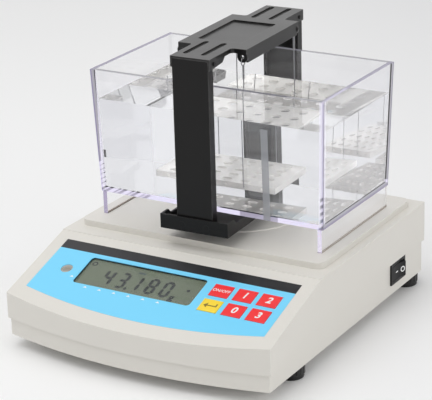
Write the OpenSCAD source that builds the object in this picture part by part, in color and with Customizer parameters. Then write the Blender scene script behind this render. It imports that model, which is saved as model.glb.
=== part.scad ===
// Benchtop density meter: a desk-top weighing base with a sloped control panel,
// a clear water tank standing on the base, and a weighing frame that straddles the
// tank and hangs a perforated basket in the water.
// +Z is up and Y runs from the control panel to the back. The origin is on the
// bench, under the middle of the overall box.

/* [Housing] */
// Width of the housing across its sides
housing_w = 190.5; // [186:0.5:198]
// Depth of the housing from its front corners to its back
housing_d = 215.2; // [212:0.2:224]
// How far the front bows out at its middle
front_bow = 12.3; // [9:0.1:15]
// Wall thickness of both shells
wall = 2.5; // [2.2:0.1:2.8]
// Height of the underside above the bench
foot_h = 8; // [7:0.5:10]
// Height of the front edge of the control slope above the bench
front_edge_z = 37; // [36:0.2:39]
// Tilt of the control slope
panel_tilt = 17.15; // [16.2:0.05:18.4]
// Depth of the slope, measured along the bench
slope_run = 64.4; // [63:0.2:67]
// Small rise where the slope meets the deck
deck_rise = 0.5; // [0.3:0.1:1]
// Height of the raised platform above the deck
platform_rise = 4.15; // [3:0.05:5]
// Ledge of deck left at the sides of the platform
platform_side = 5.9; // [4:0.1:8]
// Depth of the deck strip in front of the platform
platform_front = 12.2; // [8:0.1:14]
// Ledge of deck left behind the platform
platform_back = 9.2; // [6:0.1:12]
// How far the lower shell is set in under the upper one
shell_step = 1.4; // [1:0.1:1.5]
// Height of the joint between the shells at the front
seam_front_z = 19.5; // [18.5:0.1:20.5]
// Height of the joint between the shells at the sides and back
seam_rear_z = 30; // [30:0.1:31]
// Distance behind the front corners at which the joint has climbed to its rear height
seam_run = 60; // [52:1:68]

/* [Control panel] */
// Margin of the printed overlay beside the keys
label_margin = 5.75; // [5:0.05:7]
// Distance up the slope from the front corners to the overlay's lower corners
label_v0 = 9.5; // [9:0.1:10.5]
// Distance up the slope to the overlay's upper edge
label_v1 = 59.5; // [58.5:0.1:60.5]
// How far the overlay's lower edge bows down
label_bow = 10.6; // [9:0.1:11.5]
// Thickness of the overlay
label_t = 0.5; // [0.4:0.05:0.6]
// Display window width
window_w = 86; // [82:0.5:87]
// Display window height
window_h = 26; // [24:0.1:26.5]
// Centre of the display window across the panel
window_x = -15.9; // [-17:0.1:-15]
// Centre of the display window up the slope
window_v = 34.4; // [34:0.1:35]
// Corner radius of the display window
window_r = 2.5; // [1.5:0.1:3]
// Key width
key_w = 13.4; // [12:0.1:13.6]
// Key height
key_h = 11.2; // [10:0.1:11.5]
// Distance between key columns
key_pitch_x = 16.75; // [16.4:0.05:17]
// Distance between key rows
key_pitch_v = 14.5; // [14:0.1:14.8]
// Gap between the display window and the first key column
key_gap = 6.45; // [6:0.05:7]
// Centre of the lower key row up the slope
key_v = 25.5; // [25:0.1:26.5]
// Travel of a key
key_travel = 0.4; // [0.25:0.05:0.5]
// How far a key stands proud of the overlay
key_proud = 0.35; // [0.3:0.05:0.6]
// Distance from the display window to the middle of the level
level_gap = 10.9; // [10.2:0.1:12]
// Place of the level up the slope
level_v = 32.5; // [28:0.1:38]
// Radius of the level vial
level_r = 3.9; // [3:0.1:4]

/* [Tank] */
// Width of the tank at its rim
tank_w = 170; // [166:0.5:172]
// Depth of the tank at its rim
tank_d = 98.3; // [97:0.1:100]
// Height of the tank from its floor's underside to its rim
tank_h = 84.1; // [80:0.1:86]
// How far each tank wall leans in at the bottom
tank_draft = 2.8; // [1.5:0.1:3]
// Thickness of the tank walls
tank_wall = 3; // [2.5:0.1:3.5]
// Distance of the tank's front rim behind the front corners
tank_y = 89.8; // [89:0.1:90.5]
// Height of the skirt plates that carry the tank
skirt_h = 15.4; // [15:0.1:18]
// Thickness of a skirt plate
skirt_t = 3; // [2.5:0.1:3.5]
// How far a skirt plate is set in from the tank's side
skirt_inset = 0.9; // [0:0.1:3]
// Distance of the fill strip's middle to the right of the tank's middle
strip_x = 42.75; // [42:0.05:44]
// Width of the fill strip
strip_w = 4.9; // [4:0.1:6]
// Height of the fill strip's top below the tank's rim
strip_drop = 23.2; // [22:0.1:26]

/* [Weighing frame] */
// Distance of the weighing spindle in front of the tank's middle
spindle_lead = 2.35; // [1.5:0.05:2.8]
// Turn of the frame about the spindle, as it is set
frame_turn = 2.3; // [0:0.1:3]
// Clear distance between the rear post and the tank's rim
post_clear = 8.15; // [7.6:0.05:9]
// Height of the bridge's top above the tank's rim
bridge_above_rim = 23.3; // [22:0.1:28]
// Width of the narrow ends of the bridge
bridge_end_w = 27.5; // [26.5:0.1:28.5]
// Width of the wide middle of the bridge
bridge_mid_w = 48.4; // [47:0.1:50]
// Distance of the wide middle's ends inside the tank's rim
mid_inset = 12.35; // [11.7:0.05:13.6]
// Thickness of the bridge plate
bridge_t = 3; // [2.6:0.1:3.4]
// Depth of the bridge's side flanges
bridge_flange_h = 8.7; // [8.6:0.1:9.5]
// Thickness of a post
post_t = 6.1; // [5.8:0.1:6.5]
// Set-back of a post's outer face from the end of the bridge
post_setback = 0.25; // [0:0.05:0.5]
// How far each tray stands out past the end of the bridge
tray_out = 1.45; // [1.2:0.05:1.8]
// Height of the beam above the platform
beam_gap = 8.3; // [7.8:0.1:8.8]
// Height of the trays at the beam's ends
tray_h = 9.6; // [9:0.1:11]
// Sheet thickness of the beam's flanges
beam_t = 1.4; // [1.2:0.1:1.6]
// Radius of the weighing spindle
spindle_r = 4.5; // [3.5:0.1:4.6]
// Downward travel of the frame at full load
weigh_travel = 0.4; // [0.2:0.05:0.45]

/* [Basket] */
// Width of the basket plate
basket_w = 86.8; // [84:0.2:92]
// Distance of each wire in front of or behind the basket plate's edge
wire_stand = 1.3; // [1.2:0.05:1.8]
// Thickness of the basket plate
basket_t = 4; // [3.5:0.1:5]
// Height of the basket's top above the tank's floor underside
basket_top = 19.4; // [18:0.1:30]
// Radius of the drain holes
drain_r = 3.5; // [2.5:0.1:4]
// Distance between drain holes
drain_pitch = 13; // [11:0.5:13]
// Radius of the hanging wires
wire_r = 0.45; // [0.35:0.05:0.5]
// Distance of each wire from the middle of the basket
wire_x = 21.3; // [20.8:0.1:21.5]

/* [Switch and inlet] */
// Length of the switch bezel
switch_l = 20.9; // [20:0.1:22]
// Height of the switch bezel
switch_h = 14.9; // [14:0.1:15]
// Distance of the switch's middle in front of the housing's back
switch_back = 40.15; // [38:0.05:43]
// Angle that the rocker turns through
rocker_swing = 17.6; // [12:0.1:19]
// Radius of the socket in the power inlet
inlet_r = 3; // [2.8:0.1:3.3]

/* [Feet] */
// Radius of a levelling wheel
foot_r = 9; // [7.5:0.1:9.5]
// Distance of each foot from the housing's side
foot_side = 10.25; // [10:0.05:12]
// Distance of the front feet behind the front corners
foot_front_y = 43; // [38:0.2:48]
// Distance of the rear feet in front of the housing's back
foot_back = 9.4; // [9.2:0.1:10]
// Radius of a foot's threaded stud
stud_r = 2.45; // [2:0.05:2.9]

/* [Hidden] */
$fn = 64;

// clearances: parts that only lie together, parts that slide, and a pin in its hole
fit_gap = 0.05;
slide_gap = 0.15;
pin_gap = 0.08;
cut = 1;                // how far a cutter runs past the face that it opens

// colours
beige = [0.87, 0.86, 0.83];
black = [0.13, 0.13, 0.14];
blue = [0.49, 0.84, 1];
red = [1, 0.22, 0.24];
yellow = [1, 0.88, 0.27];
clear = [0.85, 0.87, 0.95, 0.35];
steel = [0.72, 0.73, 0.75];
green = [0.12, 0.42, 0.24];
brass = [0.8, 0.66, 0.35];

// housing heights and the arcs of its front
break_z = front_edge_z + slope_run * tan(panel_tilt);
deck_z = break_z + deck_rise;
platform_z = deck_z + platform_rise;
floor_z = foot_h + wall;
bow_r = (pow(housing_w / 2, 2) + pow(front_bow, 2)) / (2 * front_bow);
key_x = window_x + window_w / 2 + key_gap + key_w / 2;
label_half_w = key_x + 2 * key_pitch_x + key_w / 2 + label_margin;
label_bow_r = (pow(label_half_w, 2) + pow(label_bow, 2)) / (2 * label_bow);
seam_y0 = 1.5;          // the joint starts to climb just behind the corners
lip_h = 2;
lip_inset = wall + fit_gap;
inner_half_w = housing_w / 2 - shell_step - wall;
corner_r = 6;
foot_x = housing_w / 2 - foot_side;
foot_rear_y = housing_d - foot_back;
spindle_y = tank_y + tank_d / 2 - spindle_lead;

// bosses and screws that hold the shells together
boss_r = 4;
boss_x = inner_half_w - boss_r - 0.35;
boss_front_y = foot_front_y + 19;
boss_rear_y = foot_rear_y - 11.8;
shell_screw_r = 1.5;
screw_head_r = 3;
screw_head_h = 2;
screw_sink = 4;
screw_grip = 8;
tap_room = 0.5;

// panel stack, measured down from the slope's surface
bezel_wall = 1.8;
lens_t = 0.8;
lens_lap = 0.6;
glass_depth = 1.7;
board_depth = 6.3;
board_t = 1.6;
flange_t = 0.8;
flange_lap = 1;
key_depth = wall + fit_gap + flange_t;
switch_block = 6;
board_boss_r = 2.5;
board_left = window_x - window_w / 2 - 4;
board_right = key_x + 2 * key_pitch_x + key_w / 2 + flange_lap + 0.4;
board_v0 = 12;
board_v1 = 55;
board_boss_v = [board_v0 + 3, board_v1 - 3];
board_boss_x = [board_left + 5, board_right - 3.2];
board_tap = 3.5;
level_x = window_x - window_w / 2 - level_gap;
level_h = 7;
level_sink = 1.2;
level_ledge = 1.2;
level_wall = 2;

// main board
main_z = floor_z + 3.5;
main_x0 = 20;
main_x1 = 72;
main_y0 = 108;
main_y1 = housing_d - shell_step - wall - 6;
board_hole_inset = [4, 6, 22];      // from the sides, the front and the back
board_holes_x = [main_x0 + board_hole_inset[0], main_x1 - board_hole_inset[0]];
board_holes_y = [main_y0 + board_hole_inset[1], main_y1 - board_hole_inset[2]];
plug_l = 4;
relay = [6, 40, 14, 2.4];           // place on the board, side and height
capacitor = [26, 60, 12, 4, 9];     // place of the first, step, radius and height
standoff_r = 3;
standoff_tap = 5;
board_screw_r = 1.05;
board_screw_l = 4.5;
board_screw_head = [2, 1.2];    // radius and height
inlet_x = 52;
inlet_w = 9;
inlet_h = 11;
inlet_l = 14;
ribbon_w = 15;
ribbon_t = 0.8;
ribbon_x = 45;
plug_h = 4;

// load cell and its seat
cell_w = 12.7;
cell_h = 12.7;
cell_reach = 72;
cell_tip = 11;
cell_bolts = [-66, -57];
cell_neck = [-38, -26];
cell_slit = 3;
cell_bore_r = 4.6;
cell_tap = 9;
pedestal_h = 5.5;
pedestal_w = 24;
pedestal_edge = 8;
block_h = 14;
block_w = 18;
block_edge = 5;
cell_z = floor_z + pedestal_h + block_h;
cell_top = cell_z + cell_h;
cell_screw_r = 1.9;
cell_screw_head = [3.4, 2.5];
cell_screw_sink = 3.5;
cell_screw_tap = 8;
cable_r = 1.4;
cable_bend = 4;
cable_side = 3;
overload_gap = 0.6;
stop_boss_r = 4.5;
stop_boss_z = cell_z - 9;
stop_foot = 1;
spindle_bolt_x = 7;
spindle_bolt_r = 1.45;
spindle_pad_t = 3;

// tank
tank_z = platform_z + skirt_h;
rim_z = tank_z + tank_h;
tank_cy = tank_y + tank_d / 2;
tank_bottom_w = tank_w - 2 * tank_draft;
tank_bottom_d = tank_d - 2 * tank_draft;
tank_floor = tank_wall + 0.2;
strip_t = 0.3;

// weighing frame heights
bridge_mid_len = tank_d - 2 * mid_inset;
bridge_len = tank_d + 2 * (spindle_lead + post_clear + post_t + post_setback);
beam_len = bridge_len + 2 * tray_out;
beam_z = platform_z + beam_gap;
beam_floor = 2;
beam_top = beam_z + beam_floor;
beam_w = bridge_mid_w;
tray_z = beam_z + tray_h;
rail_top = tank_z - 0.7;
tray_side = 8.7;
bridge_z = rim_z + bridge_above_rim;
bridge_under = bridge_z - bridge_t;
end_flange_t = 1;
end_flange_h = 7.3;
end_flange_len = 20.1;
end_flange_rise = 1.25;         // how far the low edge climbs towards the middle
end_flange_corner = [2.9, 2.65];
mid_flange_t = 1.5;
notch_r = 2.5;
recess_x = -1.3;                // the sunk field and the slots lie a little to one side
recess = [31, bridge_mid_len - 24.1, 1.1];
recess_r = 1;
slot_x = 6.35;
slot_w = 3.8;
slot_deep = 1.1;
slot_ends = [[9.5, 35.6], [30.3, 4.1]];     // the front and the rear slots, from the bridge's own ends
post_w = bridge_end_w - 2 * (end_flange_t + fit_gap);
post_out = bridge_len / 2 - post_setback;
post_in = post_out - post_t;
post_lap = 1.4;                 // plate left over the front post's head
post_z = tray_z + 2;
post_wall = 2;
post_head_h = 9;
head_block = [2.85, 7];         // how far it stands inwards, and its foot below the bridge's top
hub_r = 14;
hub_h = 3;
spindle_hole_r = spindle_r + 4.5;
hole_rim = 2;
name_ring = [39.5, 37.5, 0.8];  // outer and inner radius, height
beam_bolt = 8.5;
beam_bolt_r = 1.25;
post_bolt_x = 8.7;
post_bolt_z = beam_z + 4.3;
post_bolt_l = 8;
bridge_bolt_y = bridge_len / 2 - 5.7;
bridge_bolt_z = bridge_z - 4.1;
bridge_bolt_l = 4.5;
small_screw_r = 0.75;

// hanging gear
eye_hole_r = 1.25;
eye_r = 3.6;
eye_t = 2;
eye_z = bridge_z - 5;
eye_y = bridge_mid_len / 2 - eye_t / 2;
basket_d = 2 * (eye_y - wire_stand);
hang_z = eye_z - 0.45;
ring_r = 2.6;
twist_r = 0.75;
twist_len = 9;
basket_z = tank_z + basket_top - basket_t;
pin_z = basket_z + basket_t / 2;
pin_len = 4;
drain_edge = 8;
edge_holes = [[8, 34], 0.9, 3]; // places, radius and depth of the plain holes in the edge

// rocker switch: its pivot lies behind the bezel's face
switch_y = housing_d - switch_back;
switch_z = seam_rear_z - 0.2 - switch_h / 2;
switch_face = housing_w / 2 - shell_step;
bezel_t = 1.2;
switch_body_l = switch_l - 2.1;
switch_body_h = switch_h - 2.3;
switch_body_depth = 16;
rocker_l = switch_body_l - 2.0;
rocker_h = switch_body_h - 2.4;
rocker_depth = 5;
rocker_pivot_x = switch_face + bezel_t - rocker_depth;
rocker_pin_r = 1.2;
rocker_nose = norm([rocker_depth, rocker_l / 2]) * cos(atan2(rocker_l / 2, rocker_depth) - rocker_swing);

// feet
pad_h = 2.5;
wheel_gap = 0.3;
stud_room = 11;
stud_top = floor_z + stud_room;
insert_wall = 1.6;
insert_top = stud_top + 1;
insert_r = stud_r + insert_wall;
insert_boss_r = insert_r + insert_wall;
pivot_r = 2;
pivot_h = 2;
pad_inset = 0.6;
foot_spots = [[-foot_x, foot_front_y], [foot_x, foot_front_y],
    [-foot_x, foot_rear_y], [foot_x, foot_rear_y]];
shell_screw_spots = [[-boss_x, boss_front_y], [boss_x, boss_front_y],
    [-boss_x, boss_rear_y], [boss_x, boss_rear_y]];

// the overall box is centred over the origin
overall_right = max(housing_w / 2, rocker_pivot_x + rocker_nose);
origin_x = (housing_w / 2 - overall_right) / 2;
origin_y = -(housing_d - front_bow) / 2;

function slope_z(y) = front_edge_z + y * tan(panel_tilt);
function seam_z(y) = y > seam_run ? seam_rear_z
    : seam_front_z + (seam_rear_z - seam_front_z) * max(y - seam_y0, 0) / (seam_run - seam_y0);

// puts the housing's own frame, whose zero is at the front corners, over the origin
module place() {
    translate([origin_x, origin_y, 0]) children();
}

// lays x across and y up the slope, with z standing out of the panel
module on_panel() {
    place() translate([0, 0, front_edge_z]) rotate([panel_tilt, 0, 0]) children();
}

// centres x and y on the spindle and turns them with the weighing frame
module on_frame() {
    place() translate([0, spindle_y, 0]) rotate([0, 0, frame_turn]) children();
}

// extrudes a side view, drawn as [y, z], across a width centred on x = 0
module across(w) {
    translate([-w / 2, 0, 0]) rotate([90, 0, 90]) linear_extrude(w) children();
}

module box(x0, x1, y0, y1, z0, z1) {
    translate([x0, y0, z0]) cube([x1 - x0, y1 - y0, z1 - z0]);
}

module rounded(w, h, r) {
    translate([-w / 2 + r, -h / 2]) square([w - 2 * r, h]);
    translate([-w / 2, -h / 2 + r]) square([w, h - 2 * r]);
    for (x = [-1, 1], y = [-1, 1])
        translate([x * (w / 2 - r), y * (h / 2 - r)]) circle(r, $fn = 32);
}

// mirrors its children to the other end of the frame as well
module both_ends() {
    children();
    mirror([0, 1, 0]) children();
}

module both_sides() {
    children();
    mirror([1, 0, 0]) children();
}

// plan of the housing, set in by a distance on every side
module plan(inset) {
    intersection() {
        translate([-housing_w / 2 + inset, -front_bow - cut])
            square([housing_w - 2 * inset, housing_d + front_bow + cut - inset]);
        translate([0, bow_r - front_bow]) circle(bow_r - inset, $fn = 360);
    }
}

module plan_block(inset) {
    translate([0, 0, foot_h]) linear_extrude(platform_z) plan(inset);
}

// side view of the upper shell, with its roof lowered and its joint dropped
module roof_view(roof_drop, joint_drop) {
    front = -front_bow - 2;
    back = housing_d + 2;
    tilt_drop = roof_drop / cos(panel_tilt);
    polygon([[front, seam_front_z - joint_drop], [front, slope_z(front) - tilt_drop],
        [slope_run, break_z - tilt_drop], [slope_run, deck_z - roof_drop],
        [back, deck_z - roof_drop], [back, seam_rear_z - joint_drop],
        [seam_run, seam_rear_z - joint_drop], [seam_y0, seam_front_z - joint_drop]]);
}

// side view of the lower shell up to the joint, raised by an amount
module tub_view(bottom, raise) {
    front = -front_bow - 2;
    back = housing_d + 2;
    polygon([[front, bottom], [back, bottom], [back, seam_rear_z + raise],
        [seam_run, seam_rear_z + raise], [seam_y0, seam_front_z + raise], [front, seam_front_z + raise]]);
}

module platform(inset, z0, z1) {
    x = housing_w / 2 - platform_side - inset;
    y0 = slope_run + platform_front + inset;
    y1 = housing_d - platform_back - inset;
    translate([0, (y0 + y1) / 2, z0]) linear_extrude(z1 - z0)
        rounded(2 * x, y1 - y0, corner_r - inset);
}

// the upper shell's outside as one closed form, set in by an amount
module upper_form(inset = 0) {
    intersection() {
        across(housing_w + 2) roof_view(inset, 0);
        plan_block(inset);
    }
    platform(inset, deck_z - wall, platform_z - inset);
}

module label_plan(grow) {
    intersection() {
        translate([-label_half_w - grow, label_v0 - label_bow - cut])
            square([2 * (label_half_w + grow), label_v1 - label_v0 + label_bow + cut + grow]);
        translate([0, label_v0 - label_bow + label_bow_r]) circle(label_bow_r + grow, $fn = 360);
    }
}

module at_keys(columns = [0, 1, 2], rows = [0, 1]) {
    for (c = columns, r = rows)
        translate([key_x + c * key_pitch_x, key_v + r * key_pitch_v]) children();
}

// the level's own upright bore, from a height up through the panel
module level_bore(r, below) {
    y = level_v * cos(panel_tilt);
    translate([level_x, y, slope_z(y) - below]) cylinder(h = below + 10, r = r);
}

module upper_shell() {
    color(beige) difference() {
        union() {
            place() difference() {
                upper_form();
                intersection() {
                    across(housing_w + 2) roof_view(wall, cut);
                    plan_block(wall);
                }
                platform(wall, deck_z - 2 * wall, platform_z - wall);
            }
            // bosses, which end inside the roof
            intersection() {
                place() upper_form(wall / 2);
                union() {
                    place() for (p = shell_screw_spots)
                        translate([p[0], p[1], seam_z(p[1])]) cylinder(h = platform_z, r = boss_r);
                    place() level_bore(level_r + level_wall, level_h + level_sink + level_ledge);
                    on_panel() for (x = board_boss_x, v = board_boss_v)
                        translate([x, v, -board_depth]) cylinder(h = board_depth, r = board_boss_r);
                }
            }
            // rim round the spindle hole, and the ring on the platform
            place() translate([0, spindle_y, platform_z - cut]) {
                cylinder(h = cut + hole_rim, r = spindle_hole_r + hole_rim);
                difference() {
                    cylinder(h = cut + name_ring[2], r = name_ring[0], $fn = 128);
                    cylinder(h = 3 * cut, r = name_ring[1], $fn = 128);
                }
            }
        }
        place() {
            translate([0, spindle_y, deck_z - 3 * wall]) cylinder(h = tank_z - deck_z, r = spindle_hole_r);
            for (p = shell_screw_spots)
                translate([p[0], p[1], seam_z(p[1]) - cut])
                    cylinder(h = screw_grip + cut + tap_room, r = shell_screw_r + fit_gap, $fn = 32);
            level_bore(level_r + fit_gap, level_h + level_sink);
        }
        on_panel() {
            translate([0, 0, -label_t]) linear_extrude(label_t + 5) label_plan(fit_gap);
            translate([window_x, window_v, -board_depth])
                linear_extrude(board_depth + 5)
                    square([window_w + 2 * (bezel_wall + fit_gap), window_h + 2 * (bezel_wall + fit_gap)], center = true);
            translate([0, 0, -wall - cut]) linear_extrude(wall + 5)
                at_keys() square([key_w + 2 * slide_gap, key_h + 2 * slide_gap], center = true);
            for (x = board_boss_x, v = board_boss_v)
                translate([x, v, -board_depth - cut])
                    cylinder(h = cut + board_tap, r = board_screw_r + fit_gap, $fn = 24);
        }
    }
}

module lower_shell() {
    tub_inset = shell_step + wall;
    color(beige) place() difference() {
        union() {
            difference() {
                union() {
                    intersection() {
                        across(housing_w + 2) tub_view(foot_h, 0);
                        plan_block(shell_step);
                    }
                    intersection() {
                        across(housing_w + 2) tub_view(foot_h, lip_h);
                        plan_block(lip_inset);
                    }
                }
                translate([0, 0, floor_z - foot_h]) plan_block(tub_inset);
            }
            for (p = shell_screw_spots)
                translate([p[0], p[1], foot_h]) cylinder(h = seam_z(p[1]) - foot_h, r = boss_r);
            for (p = foot_spots)
                translate([p[0], p[1], foot_h]) cylinder(h = insert_top - foot_h, r = insert_boss_r);
            for (x = board_holes_x, y = board_holes_y)
                translate([x, y, foot_h]) cylinder(h = main_z - foot_h, r = standoff_r);
            translate([0, spindle_y, foot_h]) cylinder(h = stop_boss_z - foot_h, r = stop_boss_r);
            box(cell_bolts[0] - pedestal_edge, cell_bolts[1] + pedestal_edge,
                spindle_y - pedestal_w / 2, spindle_y + pedestal_w / 2, foot_h, floor_z + pedestal_h);
        }
        for (p = shell_screw_spots) translate([p[0], p[1], foot_h - cut]) {
            cylinder(h = cut + screw_sink, r = screw_head_r + 2 * slide_gap, $fn = 32);
            cylinder(h = deck_z, r = shell_screw_r + fit_gap, $fn = 32);
        }
        for (p = foot_spots) translate([p[0], p[1], foot_h - cut]) cylinder(h = deck_z, r = insert_r, $fn = 48);
        for (x = board_holes_x, y = board_holes_y)
            translate([x, y, main_z - standoff_tap])
                cylinder(h = standoff_tap + cut, r = board_screw_r + fit_gap, $fn = 24);
        translate([0, spindle_y, floor_z]) cylinder(h = deck_z, r = cell_screw_r + fit_gap, $fn = 32);
        for (x = cell_bolts) translate([x, spindle_y, foot_h - cut]) {
            cylinder(h = cut + cell_screw_sink, r = cell_screw_head[0] + 0.4, $fn = 32);
            cylinder(h = deck_z, r = cell_screw_r + fit_gap, $fn = 32);
        }
        // openings for the switch and the power inlet
        box(inner_half_w - cut, housing_w / 2, switch_y - switch_body_l / 2 - fit_gap,
            switch_y + switch_body_l / 2 + fit_gap, switch_z - switch_body_h / 2 - fit_gap,
            switch_z + switch_body_h / 2 + fit_gap);
        box(inlet_x - inlet_w / 2 - fit_gap, inlet_x + inlet_w / 2 + fit_gap,
            housing_d - 2 * wall - shell_step, housing_d, main_z + board_t - fit_gap,
            main_z + board_t + inlet_h + fit_gap);
    }
}

module panel_overlay() {
    color(blue) difference() {
        on_panel() translate([0, 0, -label_t]) linear_extrude(label_t) difference() {
            label_plan(0);
            translate([window_x, window_v]) rounded(window_w, window_h, window_r);
            at_keys() square([key_w + 2 * slide_gap, key_h + 2 * slide_gap], center = true);
        }
        place() level_bore(level_r + fit_gap, level_h);
    }
}

module display_window() {
    color(clear) on_panel() translate([window_x, window_v, -label_t - lens_t])
        linear_extrude(lens_t)
            square([window_w + 2 * lens_lap - 2 * fit_gap, window_h + 2 * lens_lap - 2 * fit_gap], center = true);
}

module display_bezel() {
    color(black) on_panel() translate([window_x, window_v, 0]) difference() {
        translate([0, 0, -board_depth]) linear_extrude(board_depth - label_t)
            square([window_w + 2 * bezel_wall, window_h + 2 * bezel_wall], center = true);
        translate([0, 0, -board_depth - cut]) linear_extrude(board_depth + cut)
            rounded(window_w, window_h, window_r);
        translate([0, 0, -label_t - lens_t]) linear_extrude(lens_t + cut)
            square([window_w + 2 * lens_lap, window_h + 2 * lens_lap], center = true);
        translate([0, 0, -board_depth - cut]) linear_extrude(board_depth - glass_depth + cut)
            square([window_w + 2 * lens_lap, window_h + 2 * lens_lap], center = true);
    }
}

module display_module() {
    color([0.52, 0.57, 0.5]) on_panel() translate([window_x, window_v, -board_depth + fit_gap])
        linear_extrude(board_depth - glass_depth - 2 * fit_gap)
            square([window_w + 2 * lens_lap - 2 * fit_gap, window_h + 2 * lens_lap - 2 * fit_gap], center = true);
}

module display_board() {
    color(green) on_panel() difference() {
        union() {
            box(board_left, board_right, board_v0, board_v1, -board_depth - board_t, -board_depth);
            box(ribbon_x - ribbon_w / 2 - 1, ribbon_x + ribbon_w / 2 + 1, window_v - 2, window_v + 2,
                -board_depth - board_t - plug_h, -board_depth - board_t);
        }
        for (x = board_boss_x, v = board_boss_v)
            translate([x, v, -board_depth - board_t - cut])
                cylinder(h = board_t + 2 * cut, r = board_screw_r + fit_gap, $fn = 24);
    }
}

module key_switches() {
    top = key_depth + key_travel + fit_gap;
    color(black) on_panel() translate([0, 0, -board_depth]) linear_extrude(board_depth - top)
        at_keys() square(switch_block, center = true);
}

// one key: a cap through the panel with a flange that keeps it in
module key(column, row) {
    on_panel() at_keys([column], [row]) {
        translate([0, 0, -key_depth]) linear_extrude(key_depth + key_proud)
            square([key_w, key_h], center = true);
        translate([0, 0, -key_depth]) linear_extrude(flange_t)
            square([key_w + 2 * flange_lap, key_h + 2 * flange_lap], center = true);
    }
}

module power_key() { color(red) key(0, 1); }
module first_key() { color(red) key(1, 1); }
module second_key() { color(red) key(2, 1); }
module enter_key() { color(yellow) key(0, 0); }
module zero_key() { color(red) key(1, 0); }
module third_key() { color(red) key(2, 0); }

module level_vial() {
    y = level_v * cos(panel_tilt);
    color([0.62, 0.6, 0.56]) place() translate([level_x, y, slope_z(y) - level_sink - level_h])
        cylinder(h = level_h, r = level_r);
}

module main_board() {
    color(green) place() {
        difference() {
            union() {
                box(main_x0, main_x1, main_y0, main_y1, main_z, main_z + board_t);
                box(ribbon_x - ribbon_w / 2 - 1, ribbon_x + ribbon_w / 2 + 1, main_y0 + 1, main_y0 + 1 + plug_l,
                    main_z, main_z + board_t + plug_h);
                translate([main_x0 + relay[0], main_y0 + relay[1], main_z])
                    cube([relay[2], relay[2], board_t + relay[3]]);
                for (i = [0, 1]) translate([main_x0 + capacitor[0] + i * capacitor[2], main_y0 + capacitor[1], main_z])
                    cylinder(h = board_t + capacitor[4], r = capacitor[3]);
            }
            for (x = board_holes_x, y = board_holes_y)
                translate([x, y, main_z - cut]) cylinder(h = board_t + 2 * cut, r = board_screw_r + fit_gap, $fn = 24);
        }
    }
}

// a flat band of one thickness along a line of points
module band(p, t) {
    n = len(p);
    side = [for (i = [0 : n - 1]) let (d = p[min(i + 1, n - 1)] - p[max(i - 1, 0)])
        [-d[1], d[0]] / norm(d) * t / 2];
    polygon(concat([for (i = [0 : n - 1]) p[i] + side[i]],
        [for (i = [n - 1 : -1 : 0]) p[i] - side[i]]));
}

module ribbon_cable() {
    below = board_depth + board_t + plug_h + ribbon_t / 2 + fit_gap;
    up = [cos(panel_tilt), sin(panel_tilt)];
    top = window_v * up + below * [up[1], -up[0]] + [0, front_edge_z];
    foot = [main_y0 + 1 + plug_l / 2, main_z + board_t + plug_h + ribbon_t / 2 + fit_gap];
    color([0.6, 0.6, 0.62]) place() translate([ribbon_x, 0, 0]) across(ribbon_w)
        band([top - 2 * up, top + 2 * up, top + 5 * up - [0, 2], (top + foot) / 2,
            foot + [-9, 4], foot + [-5, 1], foot - [2, 0], foot + [2, 0]], ribbon_t);
}

module board_screw() {
    translate([0, 0, -board_screw_l]) cylinder(h = board_screw_l, r = board_screw_r, $fn = 24);
    cylinder(h = board_screw_head[1], r = board_screw_head[0], $fn = 24);
}

module board_screws() {
    color(steel) {
        place() for (x = board_holes_x, y = board_holes_y)
            translate([x, y, main_z + board_t]) board_screw();
        on_panel() for (x = board_boss_x, v = board_boss_v)
            translate([x, v, -board_depth - board_t]) rotate([180, 0, 0]) board_screw();
    }
}

// the switch's own frame: x out of the housing's side, y to the back, z up
module at_switch(x = 0) {
    place() translate([x, switch_y, switch_z]) children();
}

module rocker_frame() {
    clear_r = norm([rocker_depth, rocker_l / 2]) + 0.25;
    color(black) at_switch() difference() {
        union() {
            box(switch_face, switch_face + bezel_t, -switch_l / 2, switch_l / 2, -switch_h / 2, switch_h / 2);
            box(switch_face + bezel_t - switch_body_depth, switch_face + cut / 2,
                -switch_body_l / 2, switch_body_l / 2, -switch_body_h / 2, switch_body_h / 2);
            for (y = [-5, 5]) box(switch_face + bezel_t - switch_body_depth - 4,
                switch_face + bezel_t - switch_body_depth + cut, y - 2.4, y + 2.4, -0.4, 0.4);
        }
        // well that the rocker turns in, with bores for its pins
        translate([rocker_pivot_x, 0, -rocker_h / 2 - 0.3]) intersection() {
            cylinder(h = rocker_h + 0.6, r = clear_r);
            box(1 - rocker_depth, clear_r + cut, -rocker_l / 2 - 0.35, rocker_l / 2 + 0.35, 0, rocker_h + 0.6);
        }
        translate([rocker_pivot_x, 0, -rocker_h / 2 - 1.1])
            cylinder(h = rocker_h + 2.2, r = rocker_pin_r + fit_gap, $fn = 32);
    }
}

// plan of the rocker about its pivot: the front half is pressed in, the rear half is out
module rocker_plan() {
    front = [rocker_depth, -rocker_l / 2];
    reach = norm(front);
    tilt = atan2(rocker_l / 2, rocker_depth) - rocker_swing;
    rear = reach * [cos(tilt), sin(tilt)];
    low_front = [0.5, -rocker_l / 2 + 0.5];
    low_tilt = atan2(rocker_l / 2 - 0.5, 0.5) - rocker_swing;
    low_rear = norm(low_front) * [cos(low_tilt), sin(low_tilt)];
    polygon([front, [rocker_depth + 0.15, 0.2], rear, low_rear, low_front]);
}

module rocker() {
    color(black) at_switch(rocker_pivot_x) {
        translate([0, 0, -rocker_h / 2]) linear_extrude(rocker_h) {
            rocker_plan();
            circle(2.6, $fn = 48);
        }
        translate([0, 0, -rocker_h / 2 - 1]) cylinder(h = rocker_h + 2, r = rocker_pin_r, $fn = 32);
    }
}

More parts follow.
